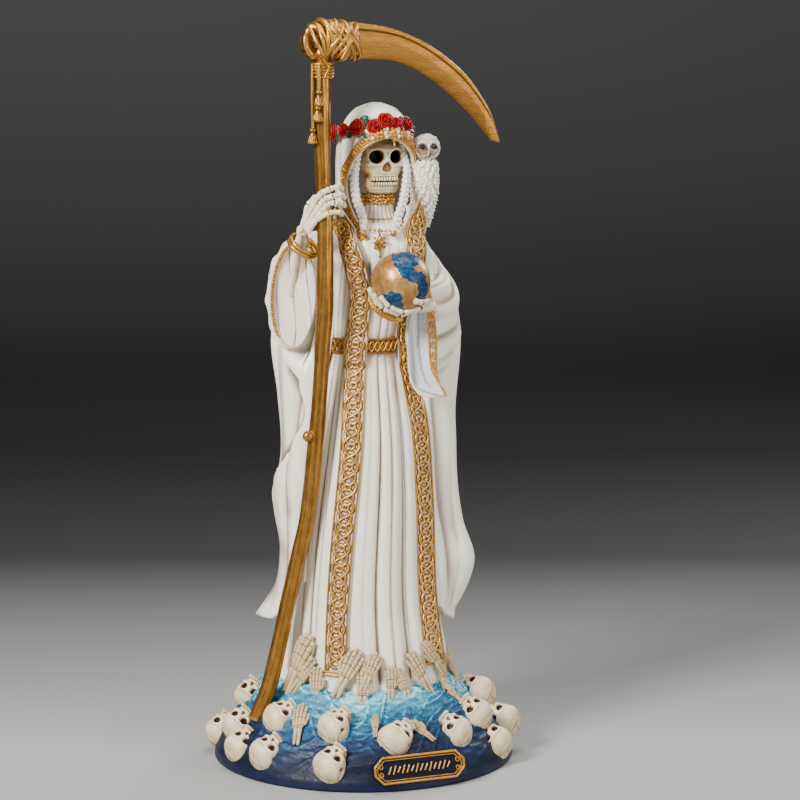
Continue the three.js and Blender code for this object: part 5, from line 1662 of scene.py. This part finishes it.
owl = {
    "body": [[(33.3, -12, 322.5), 3], [(33.6, -12.5, 330), 5.4], [(34.2, -13, 339), 7.2],
             [(34.6, -13.6, 348), 8.0],
             [(34.6, -14, 356), 7.8], [(34.8, -14.4, 363), 6.6]],
    "head": (35, -14.8, 370.8), "headRadii": (8.4, 8.2, 8.1), "look": (0.2, -0.16, 0.95),
    "rows": 21, "quills": 19,
}


def makeFeather(place, out, length, wide, lift):
    down = Vector((0, 0, -1))
    out = Vector(out).normalized()
    side = out.cross(down).normalized()
    tip = (down + out * lift).normalized()
    face = tip.cross(side).normalized()
    quill = ballOf("feather", (0, 0, 0), (wide, 0.55, length), 8, 6)
    turned = np.array([list(side), list(face), list(tip)])
    setPlaces(quill, placesOf(quill) @ turned + np.array(place))
    return quill


# The ways ahead of the owl's face, to the side and upwards
def owlAxes():
    ahead = np.array(viewWay(owl["look"]))
    side = unitOf(-np.cross((0, 0, 1), ahead))
    side *= np.sign(side @ np.array(cameraAxes()[0]))
    upward = np.cross(ahead, side)
    return ahead, side, upward * np.sign(upward[2])


def owlFeathers():
    path = softLine([spot for spot, _ in owl["body"]], 60)
    steps = np.arange(60)
    girth = through([[k, radius] for k, (_, radius) in enumerate(owl["body"])])
    last = len(owl["body"]) - 1

    def rule(u, v):
        radius = girth(v * last) * np.sqrt(np.clip(1 - (1 - np.minimum(v / 0.06, 1)) ** 2, 0, 1))
        turned = 2 * np.pi * u
        out = np.stack([radius * np.sin(turned), -radius * 0.92 * np.cos(turned), 0 * u], 1)
        return alongOf(v * 59, steps, path) + out

    shapes = [woundOf("owl_body", 60, 50, rule)]
    for row in range(owl["rows"]):
        v = 0.98 - 0.92 * row / (owl["rows"] - 1)
        middle = alongOf(v * 59, steps, path)
        radius = float(girth(v * last))
        for k in range(owl["quills"]):
            turned = 2 * np.pi * (k + 0.5 * (row % 2)) / owl["quills"] + 0.2 * math.sin(row * 5 + k * 3)
            out = np.array([math.sin(turned), -0.92 * math.cos(turned), 0])
            lift = 0.6 + 0.3 * math.sin(row * 3.7 + k * 5.1)
            long = 1.7 + 0.4 * math.sin(row * 7 + k * 11)
            shapes.append(makeFeather(middle + out * (radius + 0.1), out, long, 1.0, lift))
    for k in range(5):
        tail = (30.6 + 1.4 * k, -9.6 + 0.4 * abs(k - 2), 323)
        shapes.append(makeFeather(tail, (0.1 * (k - 2), 1, 0), 5, 1.4, 0.05))
    return shapes


def owlHead(ahead, side, upward):
    head = ballOf("owl_head", (0, 0, 0), (1, 1, 1), 150, 100)
    rays = placesOf(head)
    x, y, z = rays.T
    p, q, near = rays @ side, rays @ upward, rays @ ahead
    disc = np.minimum(oval(p, q, (0.40, 0.02), (0.42, 0.52), 10),
                      oval(p, q, (-0.40, 0.02), (0.42, 0.52), -10))
    inside = easy(disc, 1.0, 0.8) * easy(near, 0.1, 0.4)
    edge = np.exp(-((disc - 1.06) / 0.1) ** 2) * easy(near, 0.05, 0.3)
    rough = sum(np.sin(w * x + 1.7 * w * z) * np.sin(w * 0.9 * y - w * z) for w in (9, 16, 27)) * 0.026
    bill = np.exp(-(p / 0.11) ** 2) * easy(q, -0.6, -0.1) * easy(q, 0.5, 0.1) * (near > 0)
    size = 1 + rough * (1 - 0.6 * inside) - 0.09 * inside + 0.045 * edge + 0.1 * bill
    setPlaces(head, np.array(owl["head"]) + rays * size[:, None] * np.array(owl["headRadii"]))
    return head


def makeOwl():
    ahead, side, upward = owlAxes()
    right, away = [np.array(way) for way in cameraAxes()]
    centre, radii = np.array(owl["head"]), np.array(owl["headRadii"])
    plumage = joined("owl_plumage", owlFeathers() + [owlHead(ahead, side, upward)])
    places = placesOf(plumage)
    rays = (places - centre) / radii
    p, q, near = rays @ side, rays @ upward, rays @ ahead
    disc = oval(p, q, (-0.36, -0.1), (0.42, 0.62), 12)
    face = 0.95 * easy(disc, 1.1, 0.85) * (near > 0.2) * (np.abs(q) < 0.9)
    # Painted shade: the owl's lower left side takes the same pale brown tint as the face disc.
    shade = 0.85 * easy(places[:, 2], 352, 334) * easy(places @ right - centre @ right, 4, -3)
    markWith(plumage, "face", np.maximum(face, shade))
    finished(plumage, featherPaint, reach=0.3, spread=4)
    eyes = []
    for way in (-1, 1):
        spot = centre + (ahead * 0.82 + side * 0.45 * way + upward * 0.24) * radii
        eyes.append(ballOf("eye", spot - away * 0.7, (1.6, 1.6, 1.65), 20, 14))
    finished(joined("owl_eyes", eyes), eyePaint, reach=0.4, spread=2)
    beak = ballOf("beak", (0, 0, 0), (0.85, 1.1, 1.7), 16, 12)
    setPlaces(beak, placesOf(beak) + centre + (ahead * 0.98 + side * 0.08 - upward * 0.24) * radii)
    return finished(beak, beakPaint, reach=0.4, spread=2)


# The name plate: a navy board in a gold frame, with a row of slanted strokes in place of its words

plate = {"wide": 58, "tall": 17, "corner": 5.4, "lean": 12, "turn": 1.5, "centre": (2, -90.1, 13.3),
         "strokes": 14, "strokeStep": 2.85}


def plateMatrix():
    matrix = Matrix.Translation(Vector(plate["centre"]) * unit)
    matrix = matrix @ Matrix.Rotation(math.radians(plate["turn"]), 4, "Z")
    return matrix @ Matrix.Rotation(math.radians(-plate["lean"]), 4, "X")


# A place on the plate's outline with its corners cut, at so many steps all round
def plateEdge(inset, count):
    wide, tall, corner = plate["wide"] / 2 - inset, plate["tall"] / 2 - inset, plate["corner"] - inset * 0.4
    points = [(-wide + corner, -tall), (wide - corner, -tall), (wide, -tall + corner), (wide, tall - corner),
              (wide - corner, tall), (-wide + corner, tall), (-wide, tall - corner), (-wide, -tall + corner)]
    points = np.array(points + points[:1], float)
    run = runOf(points)
    return alongOf(np.linspace(0, run[-1], count, endpoint=False), run, points)


def makePlate():
    outline = plateEdge(0, 160)
    rows = [0, 0.25, 0.34, 0.66, 0.74, 0.86, 1]

    def rule(u, v):
        x, z = (closedSpot(outline, u) * np.interp(v, rows, [0.0, 1, 1, 1, 0.93, 0.93, 0.0])[:, None]).T
        return np.stack([x, np.interp(v, rows, [4, 4, 3.4, 0.3, 0.3, 0.9, 0.9]) - 1, z], 1)

    board = woundOf("plate_board", 160, 46, rule)
    board.data.transform(plateMatrix())
    finished(board, navyPaint, reach=0.5, spread=3)
    runs = []
    for inset, girth in ((1.0, 0.85), (2.6, 0.4)):
        edge = plateEdge(inset, 220)
        runs.append((np.stack([edge[:, 0], np.full(220, -0.5), edge[:, 1]], 1), girth))
    frameRing = tubesOf("plate_frame", runs, 2, True)
    lines = []
    t = np.linspace(0, 1, 40)
    turn = t * 2 * np.pi * 1.15
    reach = 1.9 * (1 - 0.75 * t)
    for way in (-1, 1):  # four scrolls, then the strokes
        for up in (-1, 1):
            x = way * (plate["wide"] / 2 - 4.6 + reach * np.cos(turn))
            z = up * (2.1 + reach * np.sin(turn))
            lines.append((np.stack([x, np.full(40, -0.45), z], 1), 0.4))
    for k in range(plate["strokes"]):
        x = (k - (plate["strokes"] - 1) / 2) * plate["strokeStep"]
        tall = 2.1 + 0.5 * math.sin(k * 2.3)
        lines.append(([(x - 0.9, -0.15, -tall), (x, -0.28, 0), (x + 0.9, -0.15, tall)], 0.5))
    piece = joined("plate_gilding", [frameRing, tubesOf("plate_marks", lines, 2)])
    piece.data.transform(plateMatrix())
    return finished(piece, goldPaint, reach=0.5, spread=3)


# The scythe

pole = {"radius": 4.7, "facets": 8, "around": 48, "along": 420}
poleLine = [(-73.7, -13.6, 29.5), (-65.1, -16.7, 54.5), (-55.8, -20.1, 98.9), (-48.3, -22.9, 133.7),
            (-43.5, -24.6, 157.3), (-39.7, -26, 194), (-37.1, -26.9, 224), (-35.4, -27.5, 254),
            (-33.8, -28.1, 283), (-33.6, -28.2, 324.5), (-33.8, -26.8, 342), (-34.4, -26.3, 371),
            (-34.2, -26.4, 400), (-34, -25.6, 430)]
knot = {"root": (-38.5, -27, 205), "tip": (-44.6, -28.1, 202.8), "radius": 3.4}
blade = {  # its outlines in lengths of its reach, from the pole to the tip
    "root": (-18, -24, 443), "reach": 97, "bulk": 3.4,
    "back": [[-0.1, -0.005], [0, 0.02], [0.12, 0.012], [0.31, -0.02], [0.6, -0.16], [0.78, -0.31],
             [0.89, -0.455], [0.96, -0.58], [1, -0.7]],
    "edge": [[-0.1, -0.19], [0, -0.2], [0.16, -0.2], [0.33, -0.22], [0.655, -0.41], [0.82, -0.565],
             [0.91, -0.67], [0.975, -0.74]],
}
burl = {"centre": (-35.6, -24, 433.5), "radius": 11}
barrel = {"start": (-33, -24, 435.5), "end": (-15, -24, 433.5), "radius": 11.2}
lashing = {  # core: its girth from the pole outwards; ends: the three loose cord ends
    "cord": 1.15, "turns": 11, "crossings": 6, "collar": (413.5, 421), "collarMiddle": (-34.1, -26),
    "core": [6.6, 9.1, 10.2, 10.6, 10.6, 10.6, 10.6, 10.4, 10.0, 9.4, 8.6, 6.1],
    "ends": [((-27, -34, 440), (-22, -36.4, 432), (-25, -35, 424)),
             ((-20, -35, 441), (-16, -36, 435), (-13, -34, 430)),
             ((-36, -33, 424), (-33, -34, 419), (-35, -33, 413))],
}
tassels = {"root": (-34.2, -26.3, 421), "bell": 9.4,
           "spots": [(-35, 17), (-42, 26), (-72, 39)]}  # angle, length


def makePole():
    path = softLine(poleLine, 240)
    run = runOf(path)
    along = np.gradient(path, run, axis=0)
    side = unitOf(np.cross(along, (0, 1, 0)))
    back = np.cross(side, along)

    def rule(u, v):
        s = v * run[-1]
        middle, across, deep = [alongOf(s, run, line) for line in (path, side, back)]
        turned = 2 * np.pi * u
        facet = np.abs(np.sin(pole["facets"] / 2 * (turned + 0.3 * np.sin(s / 41))))
        dent = 0.10 * np.sin(s / 13 + 2 * np.sin(2 * turned)) + 0.07 * np.sin(s / 5.3 + 3 * turned)
        girth = pole["radius"] * (0.965 + 0.06 * facet ** 0.7) + 0.14 * np.sin(s / 19) + dent
        return middle + across * (girth * np.cos(turned))[:, None] + deep * (girth * np.sin(turned))[:, None]

    piece = woundOf("pole_wood", pole["around"], pole["along"], rule)
    finished(piece, poleGold, reach=0.9, spread=4)
    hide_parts("scythe")
    radius, tip = knot["radius"], np.array(knot["tip"])
    ball = ballOf("knot_ball", tip, (radius, radius * 0.9, radius), 32, 20)
    places = placesOf(ball) - tip
    setPlaces(ball, places * (1 + 0.06 * np.sin(places[:, 2:] * 3) * np.cos(places[:, :1] * 2.4)) + tip)
    line = softLine([knot["root"], (-42, -27.6, 203.8), knot["tip"]], 14)
    stub = tubesOf("knot_stub", [(line, np.linspace(3.4, 1.9, 14))], 4)
    return finished(joined("pole_knot", [ball, stub]), poleGold, reach=0.5, spread=4)


def makeBlade():
    back, edge = through(blade["back"]), through(blade["edge"])

    def rule(u, v):
        share = -0.1 + 1.1 * v
        turned = 2 * np.pi * u
        c = 0.5 - 0.5 * np.cos(turned)  # 0 at the back, 1 at the edge
        top, bottom = back(share), edge(np.minimum(share, 0.985))
        narrow = np.sqrt(np.clip((1 - share) / 0.06, 0, 1))
        z = top + (bottom - top) * (c * narrow + (1 - narrow) * 0.35)
        flat = 0.52 + 0.48 * easy(c, 0.2, 0.15)
        body = np.minimum(1, np.sqrt(np.clip(c / 0.05, 0, 1))) * np.clip((1 - c) / 0.55, 0, 1) ** 0.6
        thin = np.clip((1 - share) / 0.1, 0.12, 1) * np.sign(np.sin(turned))
        thick = blade["bulk"] / 2 * flat * body * thin
        return blade["root"] + np.stack([share * blade["reach"], -thick, z * blade["reach"]], 1)

    piece = woundOf("blade", 120, 260, rule)
    return finished(piece, bladeGold, reach=0.5, spread=5)


def loopOf(centre, axis, radius, wobble, phase, count=70):
    turned = np.array(Vector((0, 0, 1)).rotation_difference(Vector(axis)).to_matrix())
    angle = np.linspace(0, 2 * np.pi, count, endpoint=False)
    reach = radius * (1 + wobble * np.sin(3 * angle + phase))
    flat = np.stack([reach * np.cos(angle), reach * np.sin(angle), 0 * angle], 1)
    return flat @ turned.T + np.array(centre)


# The hollow burl at the head of the pole
def makeBurl():
    knob = ballOf("burl", burl["centre"], (burl["radius"], burl["radius"] * 0.95, burl["radius"]), 96, 64)
    rays = (placesOf(knob) - np.array(burl["centre"])) / burl["radius"]
    right, away = [np.array(way) for way in cameraAxes()]
    x, y, z = rays.T
    p = rays @ right
    near = rays @ away < 0
    hollow = oval(p, z, (-0.14, 0.02), (0.50, 0.80), 8)
    sink = easy(hollow, 1.0, 0.7) * near
    lip = np.exp(-((hollow - 1.1) / 0.13) ** 2) * near
    grain = 0.02 * np.sin(18 * x + 9 * z * z + 5 * y)
    size = 1 - 0.30 * sink + 0.10 * lip + grain + 0.03 * np.sin(5 * p + 3 * z)
    setPlaces(knob, np.array(burl["centre"]) + rays * burl["radius"] * size[:, None])
    return finished(knob, poleGold, reach=0.8, spread=6)


def makeLashing():
    start, end = np.array(barrel["start"]), np.array(barrel["end"])
    middle = np.linspace(start + (-1, 0, 0), end + (3, 0, 0), len(lashing["core"]))
    core = tubesOf("lashing_core", [(middle, lashing["core"])], 10)
    runs = []
    for k in range(lashing["turns"]):
        share = k / (lashing["turns"] - 1)
        axis = (1, 0.15 * math.cos(k), 0.28 * math.sin(k * 1.7) + 0.12)
        radius = barrel["radius"] + 0.55 * math.sin(k * 2.3) - 1.6 * share ** 3
        runs.append((loopOf(start + (end - start) * share, axis, radius, 0.02, k), lashing["cord"]))
    for k in range(lashing["crossings"]):
        share = (k + 0.5) / lashing["crossings"]
        centre = start + (end - start) * (0.15 + 0.7 * share)
        axis = (1, 0.1, 0.75 if k % 2 else -0.75)
        runs.append((loopOf(centre, axis, barrel["radius"] + 1.0, 0.03, k), lashing["cord"]))
    for k in range(4):
        centre = np.array(burl["centre"]) + (0.5 * k, 0, 0.6 * k - 1)
        axis = (1, -0.4 + 0.25 * k, 0.55 - 0.3 * k)
        runs.append((loopOf(centre, axis, burl["radius"] + 0.5, 0.03, k), lashing["cord"]))
    low, high = lashing["collar"]
    for k in range(5):
        centre = (*lashing["collarMiddle"], low + (high - low) * k / 4)
        runs.append((loopOf(centre, (0.06 * math.sin(k), 0, 1), pole["radius"] + 1.3, 0.02, k, 50), 1.0))
    loops = tubesOf("lashing_loops", runs, 2, True)
    ends = tubesOf("lashing_ends", [(softLine(points, 16), 0.9) for points in lashing["ends"]], 2)
    return finished(joined("lashing", [core, loops, ends]), goldPaint, reach=0.7, spread=4)


def makeTassels():
    rootX, rootY, top = tassels["root"]
    reach = pole["radius"] + 2.5
    runs = []
    bells = []
    for number, (turn, length) in enumerate(tassels["spots"]):
        turned = math.radians(turn)
        x, y = rootX + reach * math.sin(turned), rootY - reach * math.cos(turned)
        bottom = top - length
        sway = 0.5 * math.sin(number * 2)
        cord = [(x, y, top), (x + sway, y - 0.4, top - length * 0.5), (x, y, bottom + 1)]
        runs.append((softLine(cord, 20), 0.95))

        def rule(u, v, x=x, y=y, bottom=bottom):
            z = bottom + 2.2 - tassels["bell"] * v
            radius = np.interp(v, [0, 0.08, 0.2, 0.3, 0.42, 0.9, 1], [0.9, 1.9, 2.1, 1.3, 1.75, 3.1, 2.7])
            fringe = 0.16 * np.sin(2 * np.pi * u * 12) * easy(v, 0.35, 0.6)
            return roundSpot((x, y), 360 * u, radius + fringe, z)

        bells.append(woundOf("bell", 72, 26, rule))
    piece = joined("tassels", [tubesOf("tassel_cords", runs, 2)] + bells)
    return finished(piece, goldPaint, reach=0.5, spread=4)


makeBraids()
makeRoses()
makeLeaves()
makeTiara()
makeOwl()
makePlate()
makePole()
makeBlade()
makeTassels()
print("braids, roses, owl, plate and scythe made")


# The studio: a pale floor that sweeps up to a grey backdrop, soft lights and the camera

# The sweep's grade is painted shade: the floor darkens away from the figure as the light falls off.
studio = {  # metres; the grade darkens the sweep from the figure to the backdrop
    "front": -2.5, "bend": 1.7, "curve": 0.6, "height": 2.6, "width": 7, "far": 2.3,
    "painted_shade_grade": [(0.0, (0.36, 0.355, 0.345)), (0.1, (0.21, 0.207, 0.203)), (0.26, (0.028, 0.028, 0.027)),
              (0.5, (0.008, 0.008, 0.008)), (0.8, (0.02, 0.02, 0.02)), (1.0, (0.052, 0.052, 0.052))],
}
lights = [  # name, place right, back and up of the figure in metres, size, power
    ("key_light", (-1.1, -1.25, 1.25), 0.55, 67),
    ("fill_light", (1.35, -1.0, 0.6), 0.9, 15),
    ("top_light", (0.1, 0.05, 1.5), 0.7, 14),
    ("back_light", (0.9, 0.95, 0.9), 0.5, 10),
]


def makeStudio():
    right, away = cameraAxes()
    long = studio["bend"] - studio["front"]
    total = long + studio["curve"] * math.pi / 2 + studio["height"]

    def rule(u, v):
        run = v * total
        lean = np.clip((run - long) / studio["curve"], 0, math.pi / 2)
        rise = np.clip(run - long - studio["curve"] * math.pi / 2, 0, None)
        back = studio["front"] + np.minimum(run, long) + studio["curve"] * np.sin(lean)
        up = studio["curve"] * (1 - np.cos(lean)) + rise
        side = (u - 0.5) * studio["width"]
        places = np.outer(side, right) + np.outer(back, away) + np.outer(up, (0, 0, 1))
        return places / unit

    floor = sheetOf("studio_floor", 2, 160, rule)
    markWith(floor, "far", placesOf(floor) * unit @ np.array(away))
    paint = newPaint("studio_sweep", Roughness=0.7)
    painted_shade_grade = ranged(paint, marked(paint, "far"), 0.0, 1.0, 0.0, studio["far"])
    link(paint, rampOf(paint, painted_shade_grade, studio["painted_shade_grade"]), "Base Color")
    floor.data.materials.append(paint)
    only(floor)
    bpy.ops.object.shade_smooth()


def makeLights():
    right, away = cameraAxes()
    middle = Vector((0, 0, 0.22))
    for name, (side, back, up), size, power in lights:
        place = right * side + away * back + Vector((0, 0, up))
        turned = (middle - place).to_track_quat("-Z", "Y").to_euler()
        bpy.ops.object.light_add(type="AREA", location=place, rotation=turned)
        light = bpy.context.active_object
        light.name = name
        light.data.size = size
        light.data.energy = power
    world = bpy.data.worlds.new("studio")
    bpy.context.scene.world = world
    world.use_nodes = True
    world.node_tree.nodes["Background"].inputs["Color"].default_value = (0.54, 0.53, 0.51, 1)
    world.node_tree.nodes["Background"].inputs["Strength"].default_value = 0.35


def makeCamera():
    right, away = cameraAxes()
    place = away * -camera["away"] + Vector((0, 0, camera["height"]))
    level = (right * camera["side"] + away * camera["away"]).normalized()
    pitch = math.radians(camera["pitch"])
    aim = level * math.cos(pitch) - Vector((0, 0, math.sin(pitch)))
    bpy.ops.object.camera_add(location=place, rotation=aim.to_track_quat("-Z", "Y").to_euler())
    eye = bpy.context.active_object
    eye.data.lens = camera["lens"]
    eye.data.sensor_width = 36
    bpy.context.scene.camera = eye


makeGlobe()
makeBurl()
makeLashing()
makeStudio()
makeLights()
makeCamera()
print("studio ready")
